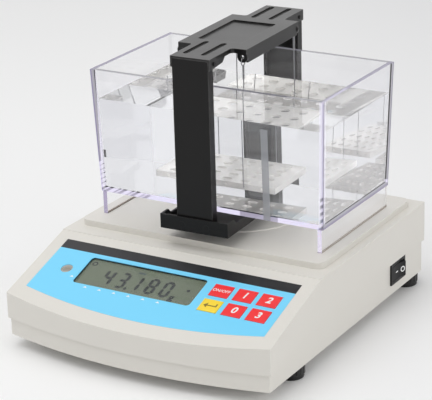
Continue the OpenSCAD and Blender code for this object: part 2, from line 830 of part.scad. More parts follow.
module power_inlet() {
    face_y = housing_d - shell_step;
    mid_z = main_z + board_t + inlet_h / 2;
    color(black) place() {
        difference() {
            box(inlet_x - inlet_w / 2, inlet_x + inlet_w / 2, face_y - inlet_l, face_y,
                main_z + board_t, main_z + board_t + inlet_h);
            translate([inlet_x, face_y + cut, mid_z]) rotate([90, 0, 0]) cylinder(h = 10 + cut, r = inlet_r);
        }
        translate([inlet_x, face_y - 0.8, mid_z]) rotate([90, 0, 0]) cylinder(h = 9.7, r = 1, $fn = 32);
    }
}

module shell_screws() {
    color(steel) place() for (p = shell_screw_spots) translate([p[0], p[1], foot_h + screw_sink]) {
        translate([0, 0, -screw_head_h]) cylinder(h = screw_head_h, r = screw_head_r, $fn = 32);
        cylinder(h = seam_z(p[1]) + screw_grip - foot_h - screw_sink, r = shell_screw_r, $fn = 32);
    }
}

module foot_inserts() {
    color(brass) place() for (p = foot_spots) translate([p[0], p[1], foot_h]) difference() {
        cylinder(h = insert_top - foot_h, r = insert_r, $fn = 48);
        translate([0, 0, -cut]) cylinder(h = insert_top, r = stud_r + fit_gap, $fn = 48);
    }
}

// a levelling wheel with its stud and a ring of finger notches
module wheel(spot) {
    color(black) place() translate([foot_spots[spot][0], foot_spots[spot][1], pad_h + fit_gap]) difference() {
        union() {
            cylinder(h = foot_h - pad_h - wheel_gap - fit_gap, r = foot_r);
            cylinder(h = stud_top - pad_h, r = stud_r, $fn = 48);
        }
        for (a = [0 : 20 : 340]) rotate([0, 0, a]) translate([foot_r + 0.5, 0, 0.8])
            cylinder(h = foot_h, r = 1, $fn = 16);
        translate([0, 0, -cut]) cylinder(h = cut + pivot_h + 0.1, r = pivot_r + pin_gap, $fn = 32);
    }
}

module pad(spot) {
    color(black) place() translate([foot_spots[spot][0], foot_spots[spot][1], 0]) {
        cylinder(h = pad_h, r = foot_r - pad_inset);
        cylinder(h = pad_h + pivot_h, r = pivot_r, $fn = 32);
    }
}

module front_left_wheel() { wheel(0); }
module front_right_wheel() { wheel(1); }
module rear_left_wheel() { wheel(2); }
module rear_right_wheel() { wheel(3); }
module front_left_pad() { pad(0); }
module front_right_pad() { pad(1); }
module rear_left_pad() { pad(2); }
module rear_right_pad() { pad(3); }

// single-point load cell: a bar with two joined cross bores that let it bend
module load_cell() {
    color([0.78, 0.79, 0.8]) place() translate([0, spindle_y, cell_z]) difference() {
        box(-cell_reach, cell_tip, -cell_w / 2, cell_w / 2, 0, cell_h);
        for (x = cell_neck) translate([x, cell_w, cell_h / 2]) rotate([90, 0, 0])
            cylinder(h = 2 * cell_w, r = cell_bore_r);
        box(cell_neck[0], cell_neck[1], -cell_w, cell_w, (cell_h - cell_slit) / 2, (cell_h + cell_slit) / 2);
        for (x = cell_bolts) translate([x, 0, -cut])
            cylinder(h = cut + cell_tap, r = cell_screw_r + fit_gap, $fn = 32);
        for (x = [-spindle_bolt_x, spindle_bolt_x]) translate([x, 0, cell_h - cell_tap])
            cylinder(h = cell_tap + cut, r = spindle_bolt_r + fit_gap, $fn = 32);
    }
}

module load_cell_block() {
    color(steel) place() translate([0, spindle_y, 0]) difference() {
        box(cell_bolts[0] - block_edge, cell_bolts[1] + block_edge, -block_w / 2, block_w / 2,
            floor_z + pedestal_h, cell_z);
        for (x = cell_bolts) translate([x, 0, 0]) cylinder(h = cell_top, r = cell_screw_r + fit_gap, $fn = 32);
    }
}

module load_cell_screws() {
    color(steel) place() for (x = cell_bolts) translate([x, spindle_y, foot_h + cell_screw_sink]) {
        translate([0, 0, -cell_screw_head[1]]) cylinder(h = cell_screw_head[1], r = cell_screw_head[0], $fn = 32);
        cylinder(h = cell_z - foot_h - cell_screw_sink + cell_screw_tap, r = cell_screw_r, $fn = 32);
    }
}

// cable down the cell's side, round one bend and along to the main board
module load_cell_cable() {
    x = cell_neck[0] - cell_bore_r - cable_side;
    low = main_z + board_t + cable_r + fit_gap;
    color([0.5, 0.5, 0.52]) place() translate([x, spindle_y - cell_w / 2 - cable_r - fit_gap, low]) {
        translate([0, 0, cable_bend])
            cylinder(h = cell_z + cell_h / 2 - low - cable_bend, r = cable_r, $fn = 24);
        translate([cable_bend, 0, cable_bend]) rotate([-90, 0, 180]) rotate_extrude(angle = 90, $fn = 48)
            translate([cable_bend, 0]) circle(cable_r, $fn = 24);
        translate([cable_bend, 0, 0]) rotate([0, 90, 0])
            cylinder(h = main_x0 + 10 - x - cable_bend, r = cable_r, $fn = 24);
    }
}

module overload_stop() {
    color(steel) place() translate([0, spindle_y, 0]) {
        translate([0, 0, floor_z + stop_foot])
            cylinder(h = cell_z - overload_gap - floor_z - stop_foot, r = cell_screw_r, $fn = 32);
        translate([0, 0, stop_boss_z]) cylinder(h = 3, r = 3.6, $fn = 6);
    }
}

module weighing_spindle() {
    color(steel) on_frame() difference() {
        union() {
            rotate([0, 0, -frame_turn])
                box(-spindle_bolt_x - 3.5, spindle_bolt_x + 3.5, -8, 8, cell_top, cell_top + spindle_pad_t);
            translate([0, 0, cell_top]) cylinder(h = beam_z - cell_top, r = spindle_r);
            translate([0, 0, beam_z - hub_h]) cylinder(h = hub_h, r = hub_r);
        }
        rotate([0, 0, -frame_turn]) for (x = [-spindle_bolt_x, spindle_bolt_x])
            translate([x, 0, cell_top - cut])
                cylinder(h = spindle_pad_t + 2 * cut, r = spindle_bolt_r + fit_gap, $fn = 32);
        for (a = [45 : 90 : 315]) rotate([0, 0, a]) translate([beam_bolt, 0, beam_z - hub_h - cut])
            cylinder(h = hub_h + 2 * cut, r = beam_bolt_r + fit_gap, $fn = 32);
    }
}

module spindle_screws() {
    color(steel) place() for (x = [-spindle_bolt_x, spindle_bolt_x])
        translate([x, spindle_y, cell_top + spindle_pad_t]) {
            translate([0, 0, 1 - spindle_pad_t - cell_tap])
                cylinder(h = spindle_pad_t + cell_tap - 1, r = spindle_bolt_r, $fn = 32);
            cylinder(h = 1.8, r = 2.4, $fn = 32);
        }
}

module beam_screws() {
    color(steel) on_frame() for (a = [45 : 90 : 315]) rotate([0, 0, a]) translate([beam_bolt, 0, beam_top]) {
        translate([0, 0, -beam_floor - hub_h]) cylinder(h = beam_floor + hub_h, r = beam_bolt_r, $fn = 32);
        cylinder(h = 1.6, r = 2.3, $fn = 32);
    }
}

// channel under the tank, with a tray at each end
module cross_beam() {
    x = beam_w / 2;
    y = beam_len / 2;
    color(black) on_frame() difference() {
        union() {
            box(-x, x, -y, y, beam_z, beam_top);
            both_sides() box(x - beam_t, x, -y, y, beam_z, rail_top);
            both_ends() {
                box(-x, x, -y, -y + beam_t, beam_z, tray_z);
                both_sides() translate([x - beam_t / 2, 0, 0]) across(beam_t)
                    polygon([[-y, beam_z], [-y, tray_z], [-y + tray_side, tray_z],
                        [-y + tray_side + tray_z - rail_top, rail_top],
                        [-y + tray_side + tray_z - rail_top, beam_z]]);
            }
        }
        both_ends() for (s = [-1, 1]) translate([s * post_bolt_x, -y - cut, post_bolt_z])
            rotate([-90, 0, 0]) cylinder(h = beam_t + 2 * cut, r = beam_bolt_r + fit_gap, $fn = 32);
        both_ends() for (s = [-1, 1]) translate([s * post_bolt_x, -y - fit_gap, post_bolt_z])
            rotate([-90, 0, 0]) cylinder(h = 0.9, r1 = 2.3, r2 = 1.35, $fn = 32);
        for (a = [45 : 90 : 315]) rotate([0, 0, a]) translate([beam_bolt, 0, beam_z - cut])
            cylinder(h = beam_floor + 2 * cut, r = beam_bolt_r + fit_gap, $fn = 32);
    }
}

// post as a channel that is open towards the tank, solid at its foot and its head,
// where a block inside takes the bridge's side screws
module post_form(head) {
    x = post_w / 2;
    y = post_out;
    block_top = bridge_under - fit_gap;
    difference() {
        union() {
            box(-x, x, -y, -post_in, beam_top, head);
            box(-x, x, -y, -post_in + head_block[0], bridge_z - head_block[1], block_top);
            box(-x, x, -beam_len / 2 + beam_t, -y + cut, beam_top, tray_z - 1.5);
        }
        box(-x + post_wall, x - post_wall, -y + post_wall, -post_in + cut, post_z, bridge_z - post_head_h);
        for (s = [-1, 1]) translate([s * post_bolt_x, -beam_len / 2, post_bolt_z])
            rotate([-90, 0, 0]) cylinder(h = post_bolt_l + cut, r = beam_bolt_r + fit_gap, $fn = 32);
        for (s = [-1, 1]) translate([s * bridge_end_w / 2, -bridge_bolt_y, bridge_bolt_z])
            rotate([0, -s * 90, 0]) cylinder(h = bridge_bolt_l + 0.5, r = small_screw_r + fit_gap, $fn = 24);
    }
}

module front_post() { color(black) on_frame() post_form(bridge_z - post_lap - fit_gap); }
module rear_post() { color(black) on_frame() mirror([0, 1, 0]) post_form(bridge_under - fit_gap); }

module post_screws() {
    color(black) on_frame() both_ends() for (s = [-1, 1])
        translate([s * post_bolt_x, -beam_len / 2, post_bolt_z]) rotate([-90, 0, 0]) {
            cylinder(h = post_bolt_l - 0.5, r = beam_bolt_r, $fn = 32);
            cylinder(h = 0.75, r1 = 2.15, r2 = 1.25, $fn = 32);
        }
}

module slot(x, y0, y1, w, z, deep) {
    box(x - w / 2, x + w / 2, y0, y1, z - deep, z + cut);
    for (y = [y0, y1]) translate([x, y, z - deep]) cylinder(h = deep + cut, r = w / 2, $fn = 32);
}

// side view of a narrow end's flange, [y, z], whose low edge climbs to a cut-off corner
module end_flange_view() {
    y0 = -bridge_len / 2;
    y1 = y0 + end_flange_len;
    low = bridge_z - end_flange_h;
    polygon([[y0, bridge_z - cut], [y0, low + 0.6], [y0 + 0.6, low],
        [y1 - end_flange_corner[0], low + end_flange_rise],
        [y1, low + end_flange_rise + end_flange_corner[1]], [y1, bridge_z - cut]]);
}

// plan of the bridge's plate, with a fillet in each inner corner
module bridge_plan() {
    square([bridge_end_w, bridge_len], center = true);
    square([bridge_mid_w, bridge_mid_len], center = true);
    both_sides() both_ends() translate([bridge_end_w / 2, -bridge_mid_len / 2]) difference() {
        translate([-cut, -notch_r]) square([notch_r + cut, notch_r + cut]);
        translate([notch_r, -notch_r]) circle(notch_r, $fn = 48);
    }
}

module bridge() {
    x = bridge_mid_w / 2;
    xe = bridge_end_w / 2;
    y = bridge_mid_len / 2;
    color(black) on_frame() difference() {
        union() {
            translate([0, 0, bridge_under]) linear_extrude(bridge_t) bridge_plan();
            both_sides() {
                box(x - mid_flange_t, x, -y + eye_t, y - eye_t, bridge_z - bridge_flange_h, bridge_z);
                both_ends() {
                    translate([xe - end_flange_t / 2, 0, 0]) across(end_flange_t) end_flange_view();
                    translate([wire_x, -y, eye_z]) rotate([-90, 0, 0]) cylinder(h = eye_t, r = eye_r);
                    box(wire_x - eye_r, x, -y, -y + eye_t, eye_z, bridge_z);
                }
            }
        }
        both_sides() both_ends() {
            translate([wire_x, -y - cut, eye_z]) rotate([-90, 0, 0]) cylinder(h = eye_t + 2 * cut, r = eye_hole_r, $fn = 32);
            translate([xe + cut, -bridge_bolt_y, bridge_bolt_z]) rotate([0, -90, 0])
                cylinder(h = end_flange_t + 2 * cut, r = small_screw_r + fit_gap, $fn = 24);
        }
        // seat for the front post's head, sunk field and slots
        box(-post_w / 2 - fit_gap, post_w / 2 + fit_gap, -bridge_len / 2 - cut, -post_in + fit_gap,
            bridge_z - bridge_flange_h, bridge_z - post_lap);
        translate([recess_x, 0, bridge_z - recess[2]]) linear_extrude(recess[2] + cut)
            rounded(recess[0], recess[1], recess_r);
        for (side = [-1, 1], i = [0, 1])
            slot(recess_x + side * slot_x, i * bridge_len - bridge_len / 2 + (1 - 2 * i) * slot_ends[i][0],
                i * bridge_len - bridge_len / 2 + (1 - 2 * i) * slot_ends[i][1], slot_w, bridge_z, slot_deep);
    }
}

module bridge_screws() {
    color(black) on_frame() both_sides() both_ends()
        translate([bridge_end_w / 2, -bridge_bolt_y, bridge_bolt_z]) rotate([0, -90, 0]) {
            cylinder(h = bridge_bolt_l, r = small_screw_r, $fn = 24);
            translate([0, 0, -0.6]) cylinder(h = 0.6, r = 1.3, $fn = 24);
        }
}

// a wire: a ring through the eyelet, a twisted neck, and a foot bent into the basket's edge
module wire(side, end) {
    color(steel) on_frame() translate([side * wire_x, end * eye_y, 0]) {
        translate([0, 0, hang_z - ring_r]) rotate([0, 90, 0]) rotate_extrude($fn = 48)
            translate([ring_r, 0]) circle(wire_r, $fn = 16);
        translate([0, 0, pin_z]) cylinder(h = hang_z - 2 * ring_r - pin_z, r = wire_r, $fn = 24);
        translate([0, 0, hang_z - 2 * ring_r - twist_len]) cylinder(h = twist_len, r = twist_r, $fn = 24);
        translate([0, 0, pin_z]) sphere(wire_r, $fn = 24);
        translate([0, 0, pin_z]) rotate([end * 90, 0, 0]) cylinder(h = pin_len, r = wire_r, $fn = 24);
    }
}

module front_left_wire() { wire(-1, -1); }
module front_right_wire() { wire(1, -1); }
module rear_left_wire() { wire(-1, 1); }
module rear_right_wire() { wire(1, 1); }

module basket_plate() {
    columns = 2 * floor((basket_w - drain_edge) / drain_pitch / 2);
    rows = 2 * floor((basket_d - drain_edge) / drain_pitch / 2) + 1;
    color(clear) on_frame() difference() {
        box(-basket_w / 2, basket_w / 2, -basket_d / 2, basket_d / 2, basket_z, basket_z + basket_t);
        for (i = [0 : columns - 1], j = [0 : rows - 1])
            translate([(i - (columns - 1) / 2) * drain_pitch, (j - (rows - 1) / 2) * drain_pitch, basket_z - cut])
                cylinder(h = basket_t + 2 * cut, r = drain_r, $fn = 32);
        both_sides() both_ends() {
            translate([wire_x, -basket_d / 2 - cut, pin_z]) rotate([-90, 0, 0])
                cylinder(h = pin_len + cut, r = wire_r + pin_gap, $fn = 24);
            for (x = edge_holes[0]) translate([x, -basket_d / 2 - cut, pin_z]) rotate([-90, 0, 0])
                cylinder(h = edge_holes[2] + cut, r = edge_holes[1], $fn = 24);
        }
    }
}

// one view of the tank's block, whose sides lean out from its bottom to its rim
module leaning_view(bottom_w, inset, z0, z1) {
    lean = tank_draft / tank_h;
    w0 = bottom_w / 2 - inset + lean * (z0 - tank_z);
    w1 = bottom_w / 2 - inset + lean * (z1 - tank_z);
    polygon([[-w0, z0], [w0, z0], [w1, z1], [-w1, z1]]);
}

module tank_block(inset, z0, z1) {
    translate([0, tank_cy, 0]) intersection() {
        across(tank_w + 2) leaning_view(tank_bottom_d, inset, z0, z1);
        rotate([90, 0, 0]) linear_extrude(tank_d + 2, center = true)
            leaning_view(tank_bottom_w, inset, z0, z1);
    }
}

module tank() {
    color(clear) place() difference() {
        tank_block(0, tank_z, rim_z);
        tank_block(tank_wall, tank_z + tank_floor, rim_z + cut);
    }
}

module skirt() {
    x = tank_bottom_w / 2 - skirt_inset;
    y = tank_bottom_d / 2;
    color(clear) place() box(x - skirt_t, x, tank_cy - y, tank_cy + y, platform_z, tank_z);
}

module right_skirt() { skirt(); }
module left_skirt() {
    translate([2 * origin_x, 0, 0]) mirror([1, 0, 0]) skirt();
}

// a strip stuck on the front wall, whose top marks how far the tank is filled
module fill_strip() {
    top = rim_z - strip_drop;
    color([0.55, 0.56, 0.57]) place() intersection() {
        difference() {
            tank_block(-fit_gap - strip_t, tank_z, top);
            tank_block(-fit_gap, tank_z - cut, top + cut);
        }
        box(strip_x - strip_w / 2, strip_x + strip_w / 2, tank_y - 5, tank_cy, tank_z, top);
    }
}

upper_shell();
lower_shell();
panel_overlay();
display_window();
display_bezel();
display_module();
display_board();
key_switches();
power_key();
first_key();
second_key();
enter_key();
zero_key();
third_key();
level_vial();
main_board();
ribbon_cable();
board_screws();
rocker_frame();
rocker();
power_inlet();
shell_screws();
foot_inserts();
front_left_wheel();
front_right_wheel();
rear_left_wheel();
rear_right_wheel();
front_left_pad();
front_right_pad();
rear_left_pad();
rear_right_pad();
load_cell();
load_cell_block();
load_cell_screws();
load_cell_cable();
overload_stop();
weighing_spindle();
spindle_screws();
cross_beam();
beam_screws();
front_post();
rear_post();
post_screws();
bridge();
bridge_screws();
front_left_wire();
front_right_wire();
rear_left_wire();
rear_right_wire();
basket_plate();
tank();
left_skirt();
right_skirt();
fill_strip();
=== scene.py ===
"""Looks of a benchtop density meter: its finishes, its printed panel, its water and its studio."""

import math

import bmesh
import bpy
from mathutils import Matrix, Vector


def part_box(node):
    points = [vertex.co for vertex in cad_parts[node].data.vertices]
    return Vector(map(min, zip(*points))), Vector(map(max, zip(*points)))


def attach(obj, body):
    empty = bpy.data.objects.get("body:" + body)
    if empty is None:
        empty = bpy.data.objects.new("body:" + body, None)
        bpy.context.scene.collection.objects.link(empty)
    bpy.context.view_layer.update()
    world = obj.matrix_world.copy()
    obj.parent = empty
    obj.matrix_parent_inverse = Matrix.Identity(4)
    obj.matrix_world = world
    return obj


bl_info = {
    "name": "Benchtop density meter",
    "version": (1, 0, 0),
    "blender": (4, 5, 0),
    "location": "3D View > Sidebar > Density Meter",
    "description": "Dresses the packed density meter with its finishes, panel print, water and studio",
    "category": "Object",
}

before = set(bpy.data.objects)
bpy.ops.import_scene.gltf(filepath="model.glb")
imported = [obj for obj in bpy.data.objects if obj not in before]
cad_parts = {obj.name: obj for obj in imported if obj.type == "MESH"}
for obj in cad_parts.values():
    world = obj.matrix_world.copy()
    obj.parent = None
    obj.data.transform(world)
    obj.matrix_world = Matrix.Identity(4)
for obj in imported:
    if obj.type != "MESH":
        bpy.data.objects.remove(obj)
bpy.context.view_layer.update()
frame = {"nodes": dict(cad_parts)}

MM = 0.001
BLACK = (0, 0, 0, 1)

TANK_LOW, TANK_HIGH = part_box("tank")
MIDDLE_X = (TANK_LOW.x + TANK_HIGH.x) / 2
TANK_Y = (TANK_LOW.y + TANK_HIGH.y) / 2
TANK_WALL = 3 * MM
TANK_FLOOR = 3.2 * MM
# how far each wall draws in between the rim and the foot
TANK_TAPER = 2.8 * MM
TANK_LEAN = TANK_TAPER / (TANK_HIGH.z - TANK_LOW.z)

# the control slope rises from the line between the case's front corners
CASE_DEPTH = 215.2 * MM
CORNER_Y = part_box("upper_shell")[1].y - CASE_DEPTH
PANEL_EDGE_Z = 37 * MM
PANEL_TILT = math.radians(17.15)

# what is printed stands this thick on its ground, in mm
PRINT = 0.03
# the display's face is this far below the slope, in mm
DISPLAY_W = -1.75

CORNERS = [f"{end}_{side}" for end in ("front", "rear") for side in ("left", "right")]
WHEELS, PADS, WIRES = ([f"{corner}_{piece}" for corner in CORNERS] for piece in ("wheel", "pad", "wire"))
RED_KEYS = ["power_key", "first_key", "second_key", "zero_key", "third_key"]


# Shapes

def panel_matrix(x, v, w=0.0):
    """A place on the control slope, in mm: x across, v up the slope and w out of it."""
    across = MIDDLE_X + x * MM
    back = CORNER_Y + (v * math.cos(PANEL_TILT) - w * math.sin(PANEL_TILT)) * MM
    up = PANEL_EDGE_Z + (v * math.sin(PANEL_TILT) + w * math.cos(PANEL_TILT)) * MM
    return Matrix.Translation((across, back, up)) @ Matrix.Rotation(PANEL_TILT, 4, "X")


def placed(name, data, matrix, body, material):
    """An object that rides on its body and has its finish."""
    data.materials.append(bpy.data.materials[material])
    piece = bpy.data.objects.new(name, data)
    piece.matrix_world = matrix
    bpy.context.scene.collection.objects.link(piece)
    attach(piece, body)


def solid(name, bm, body, material):
    """A piece made from a bmesh whose points are already in place."""
    mesh = bpy.data.meshes.new(name)
    bmesh.ops.recalc_face_normals(bm, faces=bm.faces)
    bm.to_mesh(mesh)
    bm.free()
    placed(name, mesh, Matrix.Identity(4), body, material)


def plate(name, outline, matrix, body, material):
    """A thin printed mark with an outline of (x, y) points in mm."""
    solid(name, prism(outline, 0, PRINT, matrix), body, material)


def words(name, text, height, matrix, body, material, shear=0.0, bold=0.0):
    """Printed figures as a curve object; the height and the added weight are in mm."""
    capital_share = 0.7
    curve = bpy.data.curves.new(name, "FONT")
    curve.body = text
    curve.size = height / capital_share * MM
    curve.shear = shear
    curve.offset = bold * MM
    curve.extrude = 0.02 * MM
    curve.align_x = "CENTER"
    curve.align_y = "CENTER"
    curve.resolution_u = 4
    placed(name, curve, matrix, body, material)


def close_sides(bm, lower, upper):
    """Faces between two closed rings of the same number of vertices."""
    count = len(lower)
    for i in range(count):
        j = (i + 1) % count
        bm.faces.new((lower[i], lower[j], upper[j], upper[i]))


def close_solid(bm, bottom, top):
    bm.faces.new(list(reversed(bottom)))
    bm.faces.new(top)
    close_sides(bm, bottom, top)


def prism(outline, low, high, matrix):
    """A bmesh with an outline of (x, y) points, in mm, extruded between two heights."""
    bm = bmesh.new()
    bottom, top = ([bm.verts.new(matrix @ Vector((x * MM, y * MM, z * MM))) for x, y in outline]
                   for z in (low, high))
    close_solid(bm, bottom, top)
    return bm


def ring(outer, inner, thickness, matrix):
    """A flat ring as a bmesh, with its radii and thickness in mm."""
    bm = bmesh.new()
    corners = ((outer, 0), (outer, thickness), (inner, thickness), (inner, 0))
    rows = [[bm.verts.new(matrix @ Vector((x * MM, y * MM, z * MM))) for x, y in circle_outline(radius, 32)]
            for radius, z in corners]
    for i, row in enumerate(rows):
        close_sides(bm, row, rows[(i + 1) % len(rows)])
    return bm


def circle_outline(radius, steps, centre=(0, 0)):
    turns = [2 * math.pi * i / steps for i in range(steps)]
    return [(centre[0] + radius * math.cos(a), centre[1] + radius * math.sin(a)) for a in turns]


def rounded_outline(width, height, radius, steps=5):
    points = []
    for sx, sy, start in ((1, 1, 0), (-1, 1, 90), (-1, -1, 180), (1, -1, 270)):
        cx, cy = sx * (width / 2 - radius), sy * (height / 2 - radius)
        for i in range(steps + 1):
            a = math.radians(start + 90 * i / steps)
            points.append((cx + radius * math.cos(a), cy + radius * math.sin(a)))
    return points


def joined(parts):
    """One bmesh from several."""
    whole = bmesh.new()
    for part in parts:
        mesh = bpy.data.meshes.new("part")
        part.to_mesh(mesh)
        part.free()
        whole.from_mesh(mesh)
        bpy.data.meshes.remove(mesh)
    return whole


def soften(names, width, segments=2):
    """Rounds a node's sharp edges by a width in mm, and shades its round faces smooth."""
    for name in names:
        modifiers = frame["nodes"][name].modifiers
        weld = modifiers.new("weld", "WELD")
        weld.merge_threshold = 0.002 * MM
        flat = modifiers.new("flat faces", "DECIMATE")
        flat.decimate_type = "DISSOLVE"
        flat.angle_limit = math.radians(0.5)
        if width > 0:
            bevel = modifiers.new("soft edges", "BEVEL")
            bevel.width = width * MM
            bevel.segments = segments
            bevel.limit_method = "ANGLE"
            bevel.angle_limit = math.radians(30)
            bevel.harden_normals = False
        smooth = modifiers.new("smooth shading", "NODES")
        smooth.node_group = bpy.data.node_groups["Smooth by angle"]
        if width > 0:
            flat_faces = modifiers.new("flat shading", "WEIGHTED_NORMAL")
            flat_faces.keep_sharp = True
            flat_faces.weight = 80


def smooth_by_angle(limit=32):
    """A geometry group that shades faces smooth and keeps edges sharper than the limit."""
    group = bpy.data.node_groups.new("Smooth by angle", "GeometryNodeTree")
    for way in ("INPUT", "OUTPUT"):
        group.interface.new_socket(name="Geometry", in_out=way, socket_type="NodeSocketGeometry")
    nodes, links = group.nodes, group.links
    source, sink = nodes.new("NodeGroupInput"), nodes.new("NodeGroupOutput")
    angle = nodes.new("GeometryNodeInputMeshEdgeAngle")
    sharp = nodes.new("FunctionNodeCompare")
    sharp.operation = "GREATER_THAN"
    sharp.inputs["B"].default_value = math.radians(limit)
    faces = nodes.new("GeometryNodeSetShadeSmooth")
    faces.domain = "FACE"
    edges = nodes.new("GeometryNodeSetShadeSmooth")
    edges.domain = "EDGE"
    edges.inputs["Shade Smooth"].default_value = False
    links.new(angle.outputs["Unsigned Angle"], sharp.inputs["A"])
    links.new(source.outputs[0], faces.inputs["Geometry"])
    links.new(faces.outputs["Geometry"], edges.inputs["Geometry"])
    links.new(sharp.outputs["Result"], edges.inputs["Selection"])
    links.new(edges.outputs["Geometry"], sink.inputs[0])


# Nodes

def feed(links, value, socket):
    """Gives a socket a plain value or another socket's output."""
    if isinstance(value, bpy.types.NodeSocket):
        links.new(value, socket)
    else:
        socket.default_value = value


def calc(nodes, links, operation, *operands):
    """A math node's output for numbers or sockets."""
    node = nodes.new("ShaderNodeMath")
    node.operation = operation
    for value, socket in zip(operands, node.inputs):
        feed(links, value, socket)
    return node.outputs["Value"]


def blend(nodes, links, factor, first, second):
    """A colour mix of two colours or sockets."""
    mix = nodes.new("ShaderNodeMix")
    mix.data_type = "RGBA"
    links.new(factor, mix.inputs["Factor"])
    feed(links, first, mix.inputs["A"])
    feed(links, second, mix.inputs["B"])
    return mix.outputs["Result"]


def remap(nodes, links, value, source, target=(0.0, 1.0), kind="LINEAR"):
    """A value taken from a source range to a target range, and kept inside it."""
    node = nodes.new("ShaderNodeMapRange")
    node.interpolation_type = kind
    given = {"Value": value, "From Min": source[0], "From Max": source[1],
             "To Min": target[0], "To Max": target[1]}
    for label, number in given.items():
        feed(links, number, node.inputs[label])
    return node.outputs["Result"]


def noise(nodes, links, place, scale, detail=2.0, distortion=0.0):
    node = nodes.new("ShaderNodeTexNoise")
    node.inputs["Detail"].default_value = detail
    node.inputs["Distortion"].default_value = distortion
    links.new(place, node.inputs["Vector"])
    feed(links, scale, node.inputs["Scale"])
    return node.outputs["Fac"]


def own_place(nodes):
    """Coordinates that stay with the object."""
    return nodes.new("ShaderNodeTexCoord").outputs["Object"]


def axes(nodes, links, vector):
    """The X, Y and Z of a vector."""
    split = nodes.new("ShaderNodeSeparateXYZ")
    links.new(vector, split.inputs["Vector"])
    return split.outputs


def true_normal(nodes):
    return nodes.new("ShaderNodeNewGeometry").outputs["True Normal"]


# Shader groups

def new_group(name, inputs, outputs):
    """An empty shader group with float sockets: named defaults in, names out."""
    group = bpy.data.node_groups.new(name, "ShaderNodeTree")
    for label, value in inputs.items():
        socket = group.interface.new_socket(name=label, in_out="INPUT", socket_type="NodeSocketFloat")
        socket.default_value = value
    for label in outputs:
        group.interface.new_socket(name=label, in_out="OUTPUT", socket_type="NodeSocketFloat")
    nodes = group.nodes
    source, sink = nodes.new("NodeGroupInput"), nodes.new("NodeGroupOutput")
    return nodes, group.links, source.outputs, sink.inputs


def moulded_grain_group():
    """Fine spark-eroded grain of a moulded case, with a slow drift in tone."""
    nodes, links, given, result = new_group(
        "Moulded grain", {"Grain size": 2500.0, "Drift size": 14.0}, ["Height", "Tone"])
    place = own_place(nodes)
    links.new(noise(nodes, links, place, given["Grain size"], detail=3), result["Height"])
    links.new(noise(nodes, links, place, given["Drift size"], detail=4), result["Tone"])


def painted_edge_highlight_group():
    """Mask of a painted highlight: 1 on a solid's edges and 0 on its faces, broken up by noise."""
    nodes, links, given, result = new_group(
        "Painted edge highlight", {"Width": 0.0006, "Break-up": 300.0}, ["Mask"])
    bevel = nodes.new("ShaderNodeBevel")
    bevel.samples = 4
    links.new(given["Width"], bevel.inputs["Radius"])
    dot = nodes.new("ShaderNodeVectorMath")
    dot.operation = "DOT_PRODUCT"
    links.new(bevel.outputs["Normal"], dot.inputs[0])
    links.new(true_normal(nodes), dot.inputs[1])
    edge = remap(nodes, links, dot.outputs["Value"], (0.995, 0.86))
    broken = noise(nodes, links, own_place(nodes), given["Break-up"])
    links.new(calc(nodes, links, "MULTIPLY", edge, broken), result["Mask"])


def handling_marks_group():
    """Soft smears that vary a surface's roughness."""
    nodes, links, given, result = new_group(
        "Handling marks", {"Size": 30.0, "Clean": 0.3, "Smeared": 0.5}, ["Roughness"])
    smears = noise(nodes, links, own_place(nodes), given["Size"], detail=6, distortion=0.6)
    rough = remap(nodes, links, smears, (0.0, 1.0), (given["Clean"], given["Smeared"]))
    links.new(rough, result["Roughness"])


def sawn_edges_group():
    """Masks of a clear tank's sawn rim, of its upright corners and of the edge of its floor, where painted
    glow and painted shade go.
    """
    nodes, links, _, result = new_group(
        "Sawn edges", {}, ["Rim", "Corner", "Foot", "Strip", "Side", "Right"])
    place = axes(nodes, links, own_place(nodes))
    normal = axes(nodes, links, true_normal(nodes))

    def do(operation, *operands):
        return calc(nodes, links, operation, *operands)

    # how far the leaning walls have drawn in at this height
    drawn = do("MULTIPLY", do("SUBTRACT", TANK_HIGH.z, place["Z"]), TANK_LEAN)
    across = do("SUBTRACT", place["X"], MIDDLE_X)
    along = do("SUBTRACT", place["Y"], TANK_Y)
    reach_x = do("ADD", do("ABSOLUTE", across), drawn)
    reach_y = do("ADD", do("ABSOLUTE", along), drawn)
    half_x = (TANK_HIGH.x - TANK_LOW.x) / 2
    half_y = (TANK_HIGH.y - TANK_LOW.y) / 2
    side = do("GREATER_THAN", reach_x, half_x - TANK_WALL)
    end = do("GREATER_THAN", reach_y, half_y - TANK_WALL)
    wall = do("MAXIMUM", side, end)
    upright = do("LESS_THAN", do("ABSOLUTE", normal["Z"]), 0.5)
    links.new(side, result["Side"])
    links.new(do("GREATER_THAN", across, 0.0), result["Right"])
    links.new(do("GREATER_THAN", place["Z"], TANK_HIGH.z - 0.1 * MM), result["Rim"])
    # the painted glow of a corner keeps to its outermost millimetre
    narrow = 1.1 * MM
    corner = do("MULTIPLY", do("GREATER_THAN", reach_x, half_x - narrow),
                do("GREATER_THAN", reach_y, half_y - narrow))
    links.new(do("MULTIPLY", corner, upright), result["Corner"])
    # the side walls get a thinner painted glow at their foot than the front and back
    thin = 1.5 * MM
    not_side = do("SUBTRACT", 1.0, side)
    deep = do("ADD", TANK_LOW.z + thin, do("MULTIPLY", not_side, TANK_FLOOR - thin))
    foot = do("MULTIPLY", do("LESS_THAN", place["Z"], deep), wall)
    links.new(do("MULTIPLY", foot, upright), result["Foot"])
    # the whole thickness of the walls and of the floor, which gets a fainter painted glow
    floor = do("LESS_THAN", place["Z"], TANK_LOW.z + TANK_FLOOR)
    strip = do("MAXIMUM", do("MULTIPLY", side, end), do("MULTIPLY", floor, wall))
    links.new(do("MULTIPLY", strip, upright), result["Strip"])


def place_group(nodes, name, **values):
    """A group's node in a material, with its own values."""
    node = nodes.new("ShaderNodeGroup")
    node.node_tree = bpy.data.node_groups[name]
    for label, value in values.items():
        node.inputs[label.replace("_", " ")].default_value = value
    return node.outputs


# Materials

